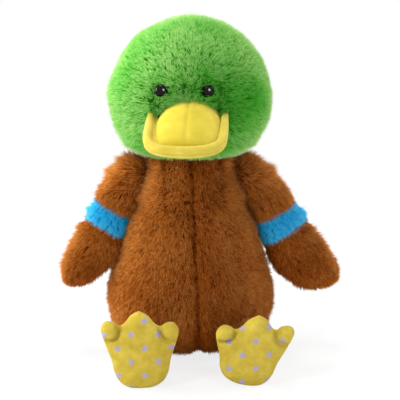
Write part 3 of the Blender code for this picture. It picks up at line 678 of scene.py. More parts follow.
head = {
    "halfWidth": 0.073,
    "halfDepth": 0.064,
    "rimRise": 0.0095,         # the underside of the head over the neck joint
    "lowerHeight": 0.0535,
    "upperHeight": 0.071,
    # height over the rim as a share of the lower height, width as a share of the way from rim to widest
    "lower": ((0.0, 0.16), (0.11, 0.48), (0.33, 0.70), (0.58, 0.88), (1.0, 1.0)),
    "upperAngles": (78, 62, 46, 30, 14, 0),
    "hollowRadius": 0.0385,
    "hollowSteps": 12,
    "stubRadius": 0.0125,
    "turned": -7.0,
    "rings": 60,
    "around": 160,
    "skin": 0.001,
    "trimmed": 0.02,           # up to this height over the rim, what would cross the hollow is left out
    "evenRim": 0.012,          # the cover is even and its pile short up to this height over the rim
}
headFur = {
    "length": 0.92,            # as a share of the pile's, less on the crown and the brow
    "crownShort": 0.2,
    "browShort": 0.28,
    "browFacing": 0.5,
    "browSpread": 0.4,
    "patchy": 1.6,
    "from": (0, 0, 0.012),     # it is combed away from here on the bill, and down by this much
    "fall": 0.2,
    "eyeWidth": 0.008,         # round the eyes it is shorter, darkened with painted shade and combed away from them
    "eyeShort": 0.45,
    "eyeComb": 0.5,
    "eyeShade": 0.4,
    "eyeShadeWidth": 0.011,
    "bareDome": (0.0235, 0.0165),      # half width and height of what the bill's dome covers
    "bareLip": (0.030, -0.006, 0.002), # half width, bottom and top of what its lip covers
    "bareDepth": 0.02,
    "billHalf": 0.022,         # round the bill, whose root ends here at its sides, top and underside,
    "billTop": 0.015,
    "billUnder": -0.006,
    "billWidth": 0.009,        # the pile within this distance leans over it and is longer
    "billComb": 3.2,
    "billLong": 0.2,
    "cheek": (0.042, -0.05, 0.215),    # the middle of the right cheek's painted shade
    "cheekShade": 0.4,
    "cheekWidth": 0.03,
    "rimShort": 0.75,
    # how its strands differ from the torso's
    "strands": {"length": 0.0078, "upright": 0.95, "lay": 0.3, "stray": 0.45, "swirl": 1.7},
}
headTurn = rotation(head["turned"], "Z")
head["rim"] = neck.z + head["rimRise"]
head["widest"] = head["rim"] + head["lowerHeight"]
head["rimRadius"] = math.sqrt(head["hollowRadius"] ** 2 - head["rimRise"] ** 2)


def headRows():
    outer = []
    for angle in reversed(head["upperAngles"]):
        down = math.radians(angle)
        height = head["widest"] + head["upperHeight"] * math.cos(down)
        outer.append((head["halfWidth"] * math.sin(down), height))
    reach = head["halfWidth"] - head["rimRadius"]
    for high, wide in reversed(head["lower"]):
        outer.append((head["rimRadius"] + reach * wide, head["rim"] + head["lowerHeight"] * high))
    outer.append((head["rimRadius"] - 0.001, head["rim"] + 0.001))
    path = smoothPath(outer)

    def layer(inward, spare):
        moved = offset(path, -pile["sunk"] - inward)
        return [p for p in moved
                if p.x > head["rimRadius"] + spare or p.y > head["rim"] + head["trimmed"]]

    skin, inside = layer(0.0, 0.0), layer(head["skin"], 0.002)
    hollow = []
    first = math.acos(head["rimRadius"] / head["hollowRadius"])
    last = math.acos(head["stubRadius"] / head["hollowRadius"])
    centre = Vector((0, neck.z))
    for k in range(head["hollowSteps"] + 1):
        angle = first + (last - first) * k / head["hollowSteps"]
        hollow.append(Vector((math.cos(angle), math.sin(angle))) * head["hollowRadius"] + centre)
    turnedOver = [point + (point - centre).normalized() * head["skin"] for point in hollow[::-1]]
    rows = evenly(skin, head["rings"]) + hollow[2:] + turnedOver[:-2]
    rows += evenly(inside, head["rings"] // 2)[::-1]
    rows[0].x = rows[-1].x = 0.0
    return rows


def headPlace(turn, row):
    outward = (row.x - head["hollowRadius"]) / (head["halfWidth"] - head["hollowRadius"])
    outward = 1.0 if row.y > head["widest"] else clamped(outward)
    deep = 1 - (1 - head["halfDepth"] / head["halfWidth"]) * outward
    point = headTurn @ Vector((row.x * math.cos(turn), row.x * math.sin(turn) * deep, row.y))
    return point + uneven(point) * (1 if row.y > head["rim"] + head["evenRim"] else 0)


eye = {
    "radius": 0.0055,
    "spacing": 0.041,
    "rise": 0.007,
    "sunk": 0.0045,
    "splay": 16.0,
    "dome": 0.0045,
    "rim": 0.001,
    "flare": 0.0004,           # roundings at the disc's edge and where the shank meets it
    "shankRadius": 0.0015,
    "shankEnd": -0.0106,
    "bare": 0.0050,            # no strand stands this near to an eye's axis
    "steps": 40,
    "domeSteps": 12,
}


def headFront(across, rise):
    # How far the front of the head lies before its middle
    up = rise / (head["upperHeight"] if rise > 0 else head["lowerHeight"])
    return head["halfDepth"] * math.sqrt(1 - up**2 - (across / head["halfWidth"]) ** 2)


def eyePose(side):
    across = side * eye["spacing"] / 2
    place = Vector((across, -headFront(across, eye["rise"]), head["widest"] + eye["rise"]))
    return headTurn @ Matrix.Translation(place) @ rotation(side * eye["splay"], "Z") @ rotation(90, "X")


bill = {
    "width": 0.069,
    "length": 0.058,
    "domeWidth": 0.0545,
    "domeShift": 0.0018,       # the dome lies a little off the lip's middle
    "domeHeight": 0.019,
    "slope": 27.0,
    "rootDrop": 0.0125,
    "rootInset": 0.010,
    "shift": (0.0025, 0.0, -0.0022),   # the photo's bill sits a little lower and to the right
    "tuck": 0.012,             # the dome runs on this far under the head's pile
    "rootSink": 0.12,          # it is flatter at its root, over this length, and narrower at its top
    "rootSinkLength": 0.02,
    "topNarrow": 0.12,
    "clearance": 0.0004,       # between the dome and the pad under it
    "seamDepth": 0.0008,
    "seamWidth": 0.0014,
    "seamFullAt": 0.01,        # it is at its full depth where the dome is this high
    # along the bill, half width and height of its dome as shares
    "dome": ((0.0, 0.92, 1.0), (0.30, 1.0, 0.96), (0.55, 0.99, 0.80), (0.75, 0.96, 0.62), (0.90, 0.85, 0.42),
             (0.97, 0.62, 0.24), (1.0, 0.0, 0.02)),
    "domeRows": 40,
    "domeAround": 96,
    "lipRadius": 0.0036,
    "lipFullness": 1.15,
    "middle": 0.46,
    # along the bill, half width of its pad and lip as a share of the width
    "pad": ((-0.30, 0.26), (-0.20, 0.46), (0.10, 0.495), (0.35, 0.502), (0.58, 0.50), (0.76, 0.47),
            (0.89, 0.38), (0.97, 0.23), (1.0, 0.0)),
    # in from the edge and up, in lip radii, from underneath to the top
    "lip": ((9.0, -1.55), (6.5, -1.55), (4.5, -1.52), (2.6, -1.45), (1.2, -1.3), (0.45, -1.0), (0.15, -0.6),
            (0.15, -0.3), (0.3, -0.1), (0.08, 0.1), (0.0, 0.5), (0.25, 0.98), (0.8, 1.25), (1.3, 1.3),
            (1.8, 1.1), (2.15, 0.75), (2.4, 0.5), (2.8, 0.4), (4.0, 0.1), (6.5, -0.1), (9.0, -0.1)),
    "lipAround": 144,
    "waddingSlack": 0.0012,    # its wadding is this much smaller all round and lies this much lower
    "waddingDrop": 0.0016,
}


def billPose():
    forward = headFront(0, -bill["rootDrop"]) - bill["rootInset"]
    root = Matrix.Translation((0, -forward, head["widest"] - bill["rootDrop"]))
    return Matrix.Translation(bill["shift"]) @ headTurn @ root @ rotation(bill["slope"], "X")


eyePoses = {end: eyePose(side) for end, side in sides.items()}
billFrame = billPose()
billBack = billFrame.inverted()
faceCentre = billFrame @ Vector(headFur["from"])


def underBill(spot):
    # Whether this place, in the bill's own frame, lies under its dome or its lip
    wide, high = headFur["bareDome"]
    inDome = ((spot.x - bill["domeShift"]) / wide) ** 2 + (spot.z / high) ** 2 < 1 and spot.z > 0
    lipHalf, bottom, top = headFur["bareLip"]
    inLip = abs(spot.x) < lipHalf and bottom < spot.z < top
    return spot.y < headFur["bareDepth"] and (inDome or inLip)


def headPile(point, normal, row):
    fur = headFur
    cover = 1.0 if row <= head["rings"] else 0.0
    long = pile["length"] * (fur["length"] - fur["crownShort"] * max(normal.z, 0.0))
    long *= 1 - fur["browShort"] * bell(normal.z - fur["browFacing"], fur["browSpread"])
    tone = pile["tone"] + fur["patchy"] * patches(point)
    comb = (point - faceCentre).normalized()
    comb.z -= fur["fall"]
    if point.y < 0:
        for pose in eyePoses.values():
            fromEye = (pose.inverted() @ point).xy.length
            near = bell(fromEye, fur["eyeWidth"])
            cover = 0.0 if fromEye < eye["bare"] else cover
            # painted shade round each eye
            tone -= fur["eyeShade"] * bell(fromEye, fur["eyeShadeWidth"])
            long *= 1 - fur["eyeShort"] * near
            comb += (point - pose.translation).normalized() * fur["eyeComb"] * near
        inBill = billBack @ point
        if underBill(inBill):
            cover = 0.0
        aside = max(abs(inBill.x) - fur["billHalf"], 0.0)
        above = max(inBill.z - fur["billTop"], fur["billUnder"] - inBill.z, 0.0)
        near = bell(math.hypot(aside, above), fur["billWidth"])
        comb *= 1 - fur["billComb"] * near
        long *= 1 + fur["billLong"] * near
        # painted shade on the right cheek
        tone -= fur["cheekShade"] * bell((point - Vector(fur["cheek"])).length, fur["cheekWidth"])
    if point.z < head["rim"] + head["evenRim"]:
        long *= fur["rimShort"]
    return {"cover": cover, "long": long, "tone": tone, "comb": comb}


headPlush = shapedBall("headPlush", head["around"], headRows(), headPlace, furry=True)
growPile(headPlush, pileOf(20, **headFur["strands"]), headPile, greenPile)
settle(headPlush, "head", "green_plush", "head_cover", fill=0.85)


def makeEye(end, material):
    # A domed eye on a shank that passes through the backing
    base = -eye["sunk"]
    radius, shankRadius, flare = eye["radius"], eye["shankRadius"], eye["flare"]
    profile = [(0.0, eye["shankEnd"]), (shankRadius, eye["shankEnd"]), (shankRadius, base - 2 * flare),
               (shankRadius + flare, base), (radius - flare, base), (radius, base + flare),
               (radius, base + eye["rim"])]
    for k in range(1, eye["domeSteps"] + 1):
        angle = math.pi / 2 * k / eye["domeSteps"]
        profile.append((radius * math.cos(angle), base + eye["rim"] + eye["dome"] * math.sin(angle)))
    bm = bmesh.new()
    verts = [bm.verts.new((across, 0, height)) for across, height in profile]
    edges = [bm.edges.new(pair) for pair in zip(verts, verts[1:])]
    bmesh.ops.spin(bm, geom=verts + edges, cent=(0, 0, 0), axis=(0, 0, 1), angle=math.tau,
                   steps=eye["steps"], use_merge=True)
    bmesh.ops.remove_doubles(bm, verts=bm.verts, dist=1e-6)
    bm = inOrder(bm)
    bmesh.ops.recalc_face_normals(bm, faces=bm.faces)
    bmesh.ops.transform(bm, matrix=eyePoses[end], verts=bm.verts)
    piece = finished(f"safetyEye_{end}", bm, material)
    settle(piece, "head", "eye_black", f"eye_{end}")


eyeMaterial = mouldedEye()
for end in sides:
    makeEye(end, eyeMaterial)
print("head and eyes done")


# Bill


def makeUpperBill():
    # A padded dome, flat underneath, with a sewn seam down its middle
    reach = bill["length"] - 2 * bill["lipRadius"]
    tuck, count = bill["tuck"], bill["domeRows"]
    rows = [-tuck + (reach + tuck) * (1 - math.cos(math.pi * k / count)) / 2 for k in range(count + 1)]

    def place(turn, along):
        wide, high = tableAt(bill["dome"], max(along, 0.0) / reach)
        half = bill["domeWidth"] / 2 * max(wide, 0.0)
        sink = bill["rootSink"] * bell(along, bill["rootSinkLength"])
        rise = bill["domeHeight"] * max(high, 0.0) * (1 - sink)
        if along < 1e-4 - tuck:
            half = rise = 0.0
        across, up = math.cos(turn), max(math.sin(turn), 0.0)
        x = half * across * (1 - bill["topNarrow"] * up)
        z = bill["clearance"] + rise * up
        if up > 0:
            z -= bill["seamDepth"] * bell(x, bill["seamWidth"]) * min(1.0, rise / bill["seamFullAt"])
        return billFrame @ Vector((x + bill["domeShift"], -along, z))

    piece = shapedBall("billUpperVelboa", bill["domeAround"], rows, place, domeVelboa)
    settle(piece, "head", "yellow_velboa", "bill_upper", fill=0.8)


def makeLowerBill():
    # The lower bill: a flat pad whose edge rolls up into a thick lip, with the layer's seam under the roll
    half = [Vector((bill["width"] * wide, -bill["length"] * along)) for along, wide in bill["pad"]]
    half.insert(0, Vector((0.0, half[0].y)))
    outline = smoothPath([Vector((-p.x, p.y)) for p in half[:0:-1]] + half)
    outline = evenly(outline, bill["lipAround"])[:-1]
    middle = Vector((0, -bill["length"] * bill["middle"]))
    radius = bill["lipRadius"]
    innermost = bill["lip"][0][0] - 0.01

    def place(turn, row):
        edge = outline[round((turn % math.tau) / math.tau * len(outline)) % len(outline)]
        inward = middle - edge
        share = min(row.x * radius / inward.length, 1.0) if row.x < innermost else 1.0
        spot = edge + inward * share
        return billFrame @ Vector((spot.x, spot.y, row.y * radius * bill["lipFullness"]))

    piece = shapedBall("billLowerVelboa", len(outline), smoothPath(bill["lip"], 3), place, lipVelboa)
    settle(piece, "head", "yellow_velboa", "bill_lower", fill=0.8)


makeUpperBill()
makeLowerBill()
print("bill done")


# Wings

wing = {
    "length": 0.131,
    "width": 0.047,
    "thickness": 0.034,
    "ball": 0.017,
    "hang": {"left": 32.0, "right": 39.0},
    "drawnUp": {"left": 0.92, "right": 1.03},         # its length in the photo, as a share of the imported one
    "elbow": 0.0035,           # how far its middle bulges outwards
    "bandStart": {"left": 0.0390, "right": 0.0435},   # the pile falls lower than the seams that it starts from
    "bandWidth": 0.0185,
    "bandSkew": {"left": 0.0, "right": 0.003},        # the right band runs a little less steeply than its wing
    "gap": 0.0002,
    "sunk": 0.0048,
    # along the wing, its outer and its inner edge as shares of the width, its thickness as a share
    "form": {
        "left": ((0.0, 0.36, 0.36, 1.0), (0.16, 0.41, 0.42, 1.0), (0.32, 0.40, 0.54, 1.0),
                 (0.48, 0.35, 0.68, 0.98), (0.64, 0.31, 0.67, 0.94), (0.78, 0.29, 0.53, 0.84),
                 (0.89, 0.27, 0.40, 0.68), (0.96, 0.19, 0.24, 0.46), (0.99, 0.10, 0.12, 0.22),
                 (1.0, 0.0, 0.0, 0.0)),
        "right": ((0.0, 0.36, 0.36, 1.0), (0.16, 0.41, 0.42, 1.0), (0.32, 0.40, 0.58, 1.0),
                  (0.48, 0.35, 0.76, 0.98), (0.64, 0.31, 0.83, 0.94), (0.78, 0.29, 0.71, 0.84),
                  (0.89, 0.28, 0.51, 0.70), (0.96, 0.23, 0.26, 0.54), (0.99, 0.16, 0.15, 0.32),
                  (1.0, 0.0, 0.0, 0.0)),
    },
    # where the inner side of the tip narrows, the wadding gives way: how far, where, over what length
    "pinch": {"left": (0.0072, 0.109, 0.020), "right": (0.0050, 0.127, 0.014)},
    "pinchAcross": 0.012,
    "rowHeight": 0.0025,
    "ballRows": 8,
    "capShare": 0.6,           # a ring inside each closed end
    "around": 72,
}
wingFur = {
    "patchy": 1.3,
    "outerPale": 0.5,          # painted light makes strands paler on the outer side,
    "outerFrom": 0.3,          # from where the skin faces outwards this much
    "outerSpread": 0.5,
    "tipShade": 0.2,           # and painted shade darkens them below the band
    "endFrom": 0.85,           # the pile is shorter near the wing's end and on its inner side
    "endShort": 0.75,
    "innerFacing": 0.5,
    "innerShort": 0.8,
    "outwards": 1.2,           # at the shoulder it is combed outwards
    "outwardsReach": 0.025,
    # at the band's seams the pile is short and lies flat, so its edges stay neat
    "topSeam": {"short": 0.45, "width": 0.0045, "flatWidth": 0.005},
    "lowSeam": {"short": 0.3, "width": 0.005, "flatWidth": 0.007},
    "flat": 2.2,
    # on top of the shoulder it is long
    "shoulderReach": 0.012,
    "shoulderFacing": 0.2,
    "shoulderLong": 1.6,
    # how the band's strands differ from the torso's
    "band": {"length": 0.0074, "lay": 0.4, "stray": 0.3, "swirl": 0.7,
             "perSquareMetre": pile["perSquareMetre"] * 1.4},
}


def wingSection(end, along):
    # This far from the shoulder: how far out the middle lies, and half the skin's width and thickness
    outer, inner, thick = tableAt(wing["form"][end], max(along, 0.0) / wing["length"])
    middle = wing["width"] * (outer - inner) / 2
    middle += wing["elbow"] * math.sin(math.pi * clamped(along / wing["length"]))
    half = max(wing["width"] * (outer + inner) / 2 - wing["sunk"], 0.0002)
    deep = max((wing["thickness"] / 2 - wing["sunk"]) * thick, 0.0002)
    if along < 0:
        ball = wing["ball"] - wing["sunk"]
        half = deep = math.sqrt(max(ball**2 - along**2, 0.0))
        middle = 0.0
    return middle, half, deep


def wingAxes(end):
    side = sides[end]
    tilt = math.radians(wing["hang"][end])
    down = Vector((side * math.sin(tilt), 0, -math.cos(tilt)))
    out = Vector((side * math.cos(tilt), 0, math.sin(tilt)))
    return joints[f"shoulder_{end}"], down, out


def makeWingPiece(end, part, first, last, material, slot, seed, **changes):
    # One of the wing's three covers, between these distances from the shoulder
    fur = wingFur
    side = sides[end]
    root, down, out = wingAxes(end)
    coat = pileOf(seed, **changes)
    ball, tip = wing["ball"] - wing["sunk"], wing["length"] - wing["sunk"]
    middleOfBand = wing["bandStart"][end] + wing["bandWidth"] / 2
    steps = max(round((last - first) / wing["rowHeight"]), 8)
    rows = [(first + (last - first) * k / steps, 1.0) for k in range(steps + 1)]
    if first < 0:
        turns = [math.pi / 2 * k / wing["ballRows"] for k in range(wing["ballRows"])]
        rows = [(-ball * math.cos(turn), 1.0) for turn in turns] + [row for row in rows if row[0] > 0]
    else:
        rows = [(first, 0.0), (first, wing["capShare"])] + rows
    if last < tip:
        rows += [(last, wing["capShare"]), (last, 0.0)]

    def place(turn, row):
        along, share = row
        middle, half, deep = wingSection(end, along)
        if along >= tip - 1e-6 or along <= -ball + 1e-6:
            share = 0.0
        skew = wing["bandSkew"][end] * math.cos(turn) * bell(along - middleOfBand, wing["bandWidth"])
        across = out * (middle + half * share * math.cos(turn))
        lower = down * (along * wing["drawnUp"][end] + skew)
        point = root + lower + across + Vector((0, deep * share * math.sin(turn), 0))
        return point + uneven(point) * share

    def describe(point, normal, row):
        along, share = rows[round(row)]
        inner = -side * normal.x
        long = coat["length"]
        tone = pile["tone"] + fur["patchy"] * patches(point)
        # painted light on the outer side
        tone += fur["outerPale"] * clamped((-inner - fur["outerFrom"]) / fur["outerSpread"])
        # painted shade below the band
        if along > middleOfBand + wing["bandWidth"] / 2:
            tone -= fur["tipShade"]
        if along > wing["length"] * fur["endFrom"]:
            long *= fur["endShort"]
        if inner > fur["innerFacing"]:
            long *= fur["innerShort"]
        comb = down + out * fur["outwards"] * clamped(1 - along / fur["outwardsReach"])
        top, low = fur["topSeam"], fur["lowSeam"]
        onSeam = first > 0
        long *= (1 - top["short"] * bell(along - first, top["width"]) * onSeam
                 - low["short"] * bell(along - last, low["width"]))
        comb *= 1 + fur["flat"] * max(bell(along - first, top["flatWidth"]) * onSeam,
                                      bell(along - last, low["flatWidth"]))
        if along < fur["shoulderReach"] and normal.z > fur["shoulderFacing"]:
            long = coat["length"] * fur["shoulderLong"]
        return {"cover": float(share >= 1.0), "long": long, "tone": tone, "comb": comb}

    skin = shapedBall(f"wing{part}_{end}", wing["around"], rows, place, furry=True)
    growPile(skin, coat, describe, material)
    settle(skin, f"wing_{end}", slot, f"wing_{part.lower()}_{end}", fill=0.75)


for number, end in enumerate(sides):
    seed = 30 + 10 * number
    start = wing["bandStart"][end]
    stop = start + wing["bandWidth"]
    makeWingPiece(end, "Sleeve", -wing["ball"], start - wing["gap"], brownPile, "brown_plush", seed)
    makeWingPiece(end, "Band", start, stop, bluePile, "blue_plush", seed + 3, **wingFur["band"])
    makeWingPiece(end, "Tip", stop + wing["gap"], wing["length"] - wing["sunk"], brownPile, "brown_plush",
                  seed + 6)
print("wings done")


# Legs and feet

foot = {
    "width": 0.063,
    "height": 0.064,
    "middle": 0.46,
    "soleBulge": 0.008,
    "topBulge": 0.013,
    "bulgeRows": 30,
    "lean": 6.0,
    "turned": {"left": -2.0, "right": 13.0},
    "seamGap": 0.0001,
    "sunk": 0.0005,            # the outline reaches this far into the floor
    "lowest": 0.0003,          # and is flattened at this height
    # half of the outline from heel to middle toe, across and up as shares of the width and the height
    "outline": ((0.0, 0.0), (0.15, 0.015), (0.27, 0.08), (0.345, 0.20), (0.38, 0.36), (0.44, 0.54),
                (0.49, 0.70), (0.495, 0.79), (0.44, 0.86), (0.35, 0.855), (0.26, 0.815), (0.19, 0.85),
                (0.11, 0.945), (0.0, 1.0)),
    "around": 144,
    "fullness": 0.85,
    "backing": (0.0, 0.35, 0.7, 0.97), # rings of the backing, as shares of the outline
    "toeWrap": 0.008,          # how far the plain top wraps round the toes to the front
    "wrapFrom": 0.1,           # from this share of the height under the middle up, by no more than this share
    "wrapMost": 0.5,
    # middles of the toes, across and up as shares of the width and the height
    "toes": ((-0.405, 0.765), (0.0, 0.86), (0.405, 0.765)),
    "creaseReach": 0.0088,     # a stitched crease runs this far round the middle of each outer toe
    "creaseDepth": 0.0060,
    "creaseWidth": 0.0017,
    "creaseFrom": 0.15,        # it starts where it faces the foot's middle this much
    "creaseFade": 0.4,
    "creaseMost": 0.8,         # of what the pillow rises there
    "toeKnob": 0.0030,
    "toeKnobWidth": 0.0068,
    "puckerHeight": 0.0007,    # the velboa puckers a little
    "puckerSize": 0.008,
    "atEdge": 0.004,           # knobs and puckers fade out below this height over the seam
    # how far the outer toes at a foot's left and right have sunk in the photo
    "toeDrop": {"left": (-0.0018, 0.0014), "right": (0.0096, -0.0005)},
    "toeDropAt": 0.77,
}
leg = {
    "length": 0.0445,
    "radius": 0.019,
    "ankleRadius": 0.0165,
    "sunk": 0.0055,
    "intoFoot": 0.7,           # as a share of the foot's thickness over its seam
    "ballRows": 8,
    "rows": 10,
    "around": 72,
    "furLength": 0.85,
    "furTone": 0.45,
    "furComb": (0, -1, -0.3),
    "bareBehind": -0.012,      # nothing grows on the back of the hip's ball
    "capShare": 0.6,           # a ring inside the closed end, in the foot
}


def footOutline():
    half = [Vector((foot["width"] * x, foot["height"] * (z - foot["middle"]))) for x, z in foot["outline"]]
    whole = [Vector((-p.x, p.y)) for p in half[:0:-1]] + half
    return evenly(smoothPath(whole), foot["around"])[:-1]


footEdge = footOutline()


def footPose(end):
    # The foot's plane, leaning and turned, with its rim just in the floor
    hip = joints[f"hip_{end}"]
    pose = Matrix.Translation((hip.x, hip.y - leg["length"], 0))
    pose = pose @ rotation(-foot["lean"], "X") @ rotation(foot["turned"][end], "Y")
    lowest = min((pose @ Vector((p.x, 0, p.y))).z for p in footEdge)
    return Matrix.Translation((0, 0, -foot["sunk"] - lowest)) @ pose


stars = {
    "colour": "#A098B2",
    "across": 0.0218,          # from one star to the next in its row
    "up": 0.0226,              # from one row to the next but one
    "radius": 0.0035,
    "points": 5,
    "notch": 0.45,             # radius of the notches as a share
    "blur": (-0.0001, 0.0002), # the print's edge, from and to
    # where one star lies on each sole, from its middle
    "place": {"left": (0.0032, 0.0052), "right": (0.0032, 0.0089)},
}


def printedVelboa(end):
    # Velboa printed with small lilac stars in staggered rows, level on both soles
    # the sole's ground is the feet's velboa colour, with its painted shade
    material = velboa(f"starPrintedVelboa_{end}", velboaLook["foot"])
    tree = material.node_tree
    shader = tree.nodes["Principled BSDF"]
    ground = shader.inputs["Base Color"].links[0].from_socket
    place = addNode(tree, "ShaderNodeTexCoord")
    x, z = stars["place"][end]
    turned = footPose(end) @ rotation(-foot["turned"][end], "Y") @ Matrix.Translation((x, 0, z))
    turned.invert()
    laid = addNode(tree, "ShaderNodeMapping", {
        "Vector": place.outputs["Object"], "Location": turned.translation, "Rotation": turned.to_euler("XYZ"),
    }, vector_type="POINT")
    flat = addNode(tree, "ShaderNodeSeparateXYZ", {"Vector": laid})
    half = math.pi / stars["points"]
    # a side runs from the star's tip at (1, 0) to its notch: the side's normal
    normal = Vector((stars["notch"] * math.sin(half), 1 - stars["notch"] * math.cos(half))).normalized()
    edge = stars["radius"] * normal.x
    spots = []
    for shift in (0.0, 0.5):
        cell, squares = [], []
        for axis, size in (("X", stars["across"]), ("Z", stars["up"])):
            scaled = addNode(tree, "ShaderNodeMath", {0: flat.outputs[axis], 1: 1 / size, 2: shift + 0.5},
                             operation="MULTIPLY_ADD")
            part = addNode(tree, "ShaderNodeMath", {0: scaled}, operation="FRACT")
            centred = addNode(tree, "ShaderNodeMath", {0: part, 1: 0.5}, operation="SUBTRACT")
            cell.append(addNode(tree, "ShaderNodeMath", {0: centred, 1: size}, operation="MULTIPLY"))
            squares.append(addNode(tree, "ShaderNodeMath", {0: cell[-1], 1: 2.0}, operation="POWER"))
        # fold the plane onto half of one point of the star, and test it against that point's straight side
        total = addNode(tree, "ShaderNodeMath", {0: squares[0], 1: squares[1]})
        radius = addNode(tree, "ShaderNodeMath", {0: total}, operation="SQRT")
        angle = addNode(tree, "ShaderNodeMath", {0: cell[0], 1: cell[1]}, operation="ARCTAN2")
        folded = addNode(tree, "ShaderNodeMath", {0: angle, 1: half}, operation="PINGPONG")
        cosine = addNode(tree, "ShaderNodeMath", {0: folded}, operation="COSINE")
        sine = addNode(tree, "ShaderNodeMath", {0: folded}, operation="SINE")
        alongX = addNode(tree, "ShaderNodeMath", {0: cosine, 1: normal.x}, operation="MULTIPLY")
        alongY = addNode(tree, "ShaderNodeMath", {0: sine, 1: normal.y, 2: alongX}, operation="MULTIPLY_ADD")
        reach = addNode(tree, "ShaderNodeMath", {0: alongY, 1: radius}, operation="MULTIPLY")
        spots.append(addNode(tree, "ShaderNodeMapRange", {
            "Value": reach, "From Min": edge + stars["blur"][0], "From Max": edge + stars["blur"][1],
            "To Min": 1.0, "To Max": 0.0,
        }))
    either = addNode(tree, "ShaderNodeMath", {0: spots[0], 1: spots[1]}, operation="MAXIMUM")
    printed = addNode(tree, "ShaderNodeMix", {"Factor": either, 6: ground, 7: linear(stars["colour"])},
                      data_type="RGBA")
    tree.links.new(printed.outputs[2], shader.inputs["Base Color"])
    return material


def toeCentres():
    return [Vector((foot["width"] * x, foot["height"] * (z - foot["middle"]))) for x, z in foot["toes"]]


def toeCrease(x, z):
    # Depth of the stitched creases that set off the outer toes, at this place on the foot's plane
    spot = Vector((x, z))
    depth = 0.0
    for centre in toeCentres()[::2]:
        away = spot - centre
        inward = away.normalized().dot(-centre.normalized()) if away.length > 1e-6 else 0.0
        reached = clamped((inward - foot["creaseFrom"]) / foot["creaseFade"])
        depth += foot["creaseDepth"] * reached * bell(away.length - foot["creaseReach"], foot["creaseWidth"])
    return depth


def toeKnob(x, z):
    # How much fuller the three toes are than the rest of the pillow
    spot = Vector((x, z))
    return sum(foot["toeKnob"] * bell((spot - centre).length, foot["toeKnobWidth"])
               for centre in toeCentres())


def toeDrop(end, x, z):
    # How far this place on the foot's plane has sunk: nothing at the heel, most at the toes
    atLeft, atRight = foot["toeDrop"][end]
    share = clamped((z / foot["height"] + foot["middle"]) / foot["toeDropAt"])
    lean = x / (foot["width"] * foot["toes"][2][0])
    return share * ((atLeft + atRight) / 2 + (atRight - atLeft) / 2 * lean)


def makeFootHalf(end, name, bulge, material, slot, node):
    # Half of the pillow, from its seam to its middle; a thin backing closes it on the seam's plane
    pose = footPose(end)
    toward = math.copysign(1.0, bulge)
    turns = [math.pi / 2 * k / foot["bulgeRows"] for k in range(foot["bulgeRows"] + 1)]
    rows = [Vector((share, 0.0)) for share in foot["backing"]]
    rows += [Vector((math.cos(turn), math.sin(turn))) for turn in turns]

    def place(turn, row):
        edge = footEdge[round((turn % math.tau) / math.tau * foot["around"]) % foot["around"]]
        spot = edge * row.x
        rise = abs(bulge) * row.y ** foot["fullness"]
        crease = min(toeCrease(spot.x, spot.y), rise * foot["creaseMost"])
        rise += toeKnob(spot.x, spot.y) * min(1.0, rise / foot["atEdge"]) - crease
        pucker = noise.noise(Vector((spot.x, toward, spot.y)) / foot["puckerSize"])
        rise += foot["puckerHeight"] * pucker * min(1.0, rise / foot["atEdge"])
        wrap = min(max(spot.y / foot["height"] + foot["wrapFrom"], 0.0), foot["wrapMost"])
        seam = -foot["toeWrap"] * wrap * row.x**2
        level = toward * (foot["seamGap"] + max(rise, 0.0)) + seam
        point = pose @ Vector((spot.x, level, spot.y - toeDrop(end, spot.x, spot.y)))
        point.z = max(point.z, foot["lowest"])
        return point

    piece = shapedBall(name, foot["around"], rows, place, material)
    settle(piece, f"leg_{end}", slot, node, fill=0.8)


def makeLeg(end, seed):
    pose = Matrix.Translation(joints[f"hip_{end}"]) @ rotation(90, "X")
    ball = leg["radius"] - leg["sunk"]
    bare = leg["length"] - foot["topBulge"] * leg["intoFoot"]
    taper = (leg["radius"] - leg["ankleRadius"]) / leg["radius"]
    turns = [math.pi / 2 * k / leg["ballRows"] for k in range(leg["ballRows"])]
    rows = [Vector((ball * math.sin(turn), -ball * math.cos(turn))) for turn in turns]
    rows += [Vector((ball, bare * k / leg["rows"])) for k in range(leg["rows"] + 1)]
    rows += [Vector((ball * leg["capShare"], bare)), Vector((0.0, bare))]

    def place(turn, row):
        thin = 1 - taper * max(row.y, 0.0) / bare
        return pose @ Vector((row.x * thin * math.cos(turn), row.x * thin * math.sin(turn), row.y))

    def describe(point, normal, row):
        here = rows[round(row)]
        hidden = here.y < leg["bareBehind"] or here.x < ball * 0.5
        tone = leg["furTone"] + patches(point)
        long = pile["length"] * leg["furLength"]
        return {"cover": float(not hidden), "long": long, "tone": tone, "comb": Vector(leg["furComb"])}

    skin = shapedBall(f"legPlush_{end}", leg["around"], rows, place, furry=True)
    growPile(skin, pileOf(seed, lay=0.6), describe, brownPile)
    settle(skin, f"leg_{end}", "brown_plush", f"leg_cover_{end}", fill=0.75)


for number, end in enumerate(sides):
    makeFootHalf(end, f"footSole_{end}", -foot["soleBulge"], printedVelboa(end), "star_print_velboa",
                 f"foot_sole_{end}")
    makeFootHalf(end, f"footTop_{end}", foot["topBulge"], footVelboaPaintedShade, "yellow_velboa", f"foot_top_{end}")
    makeLeg(end, 60 + 10 * number)
print("legs done")


# Tail

tail = {
    "length": 0.036,
    "width": 0.040,
    "thickness": 0.022,
    "height": 0.046,
    "inset": 0.010,
    "lift": 28.0,
    "sunk": 0.0045,
    # along the tail, shares of its width and of its thickness
    "form": ((0.0, 1.0, 1.0), (0.35, 0.90, 0.96), (0.65, 0.68, 0.80), (0.86, 0.42, 0.52), (0.97, 0.18, 0.24),
             (1.0, 0.0, 0.0)),
    "rows": 20,
    "bareRows": 5,             # nothing grows on the rows inside the torso
    "around": 72,
}


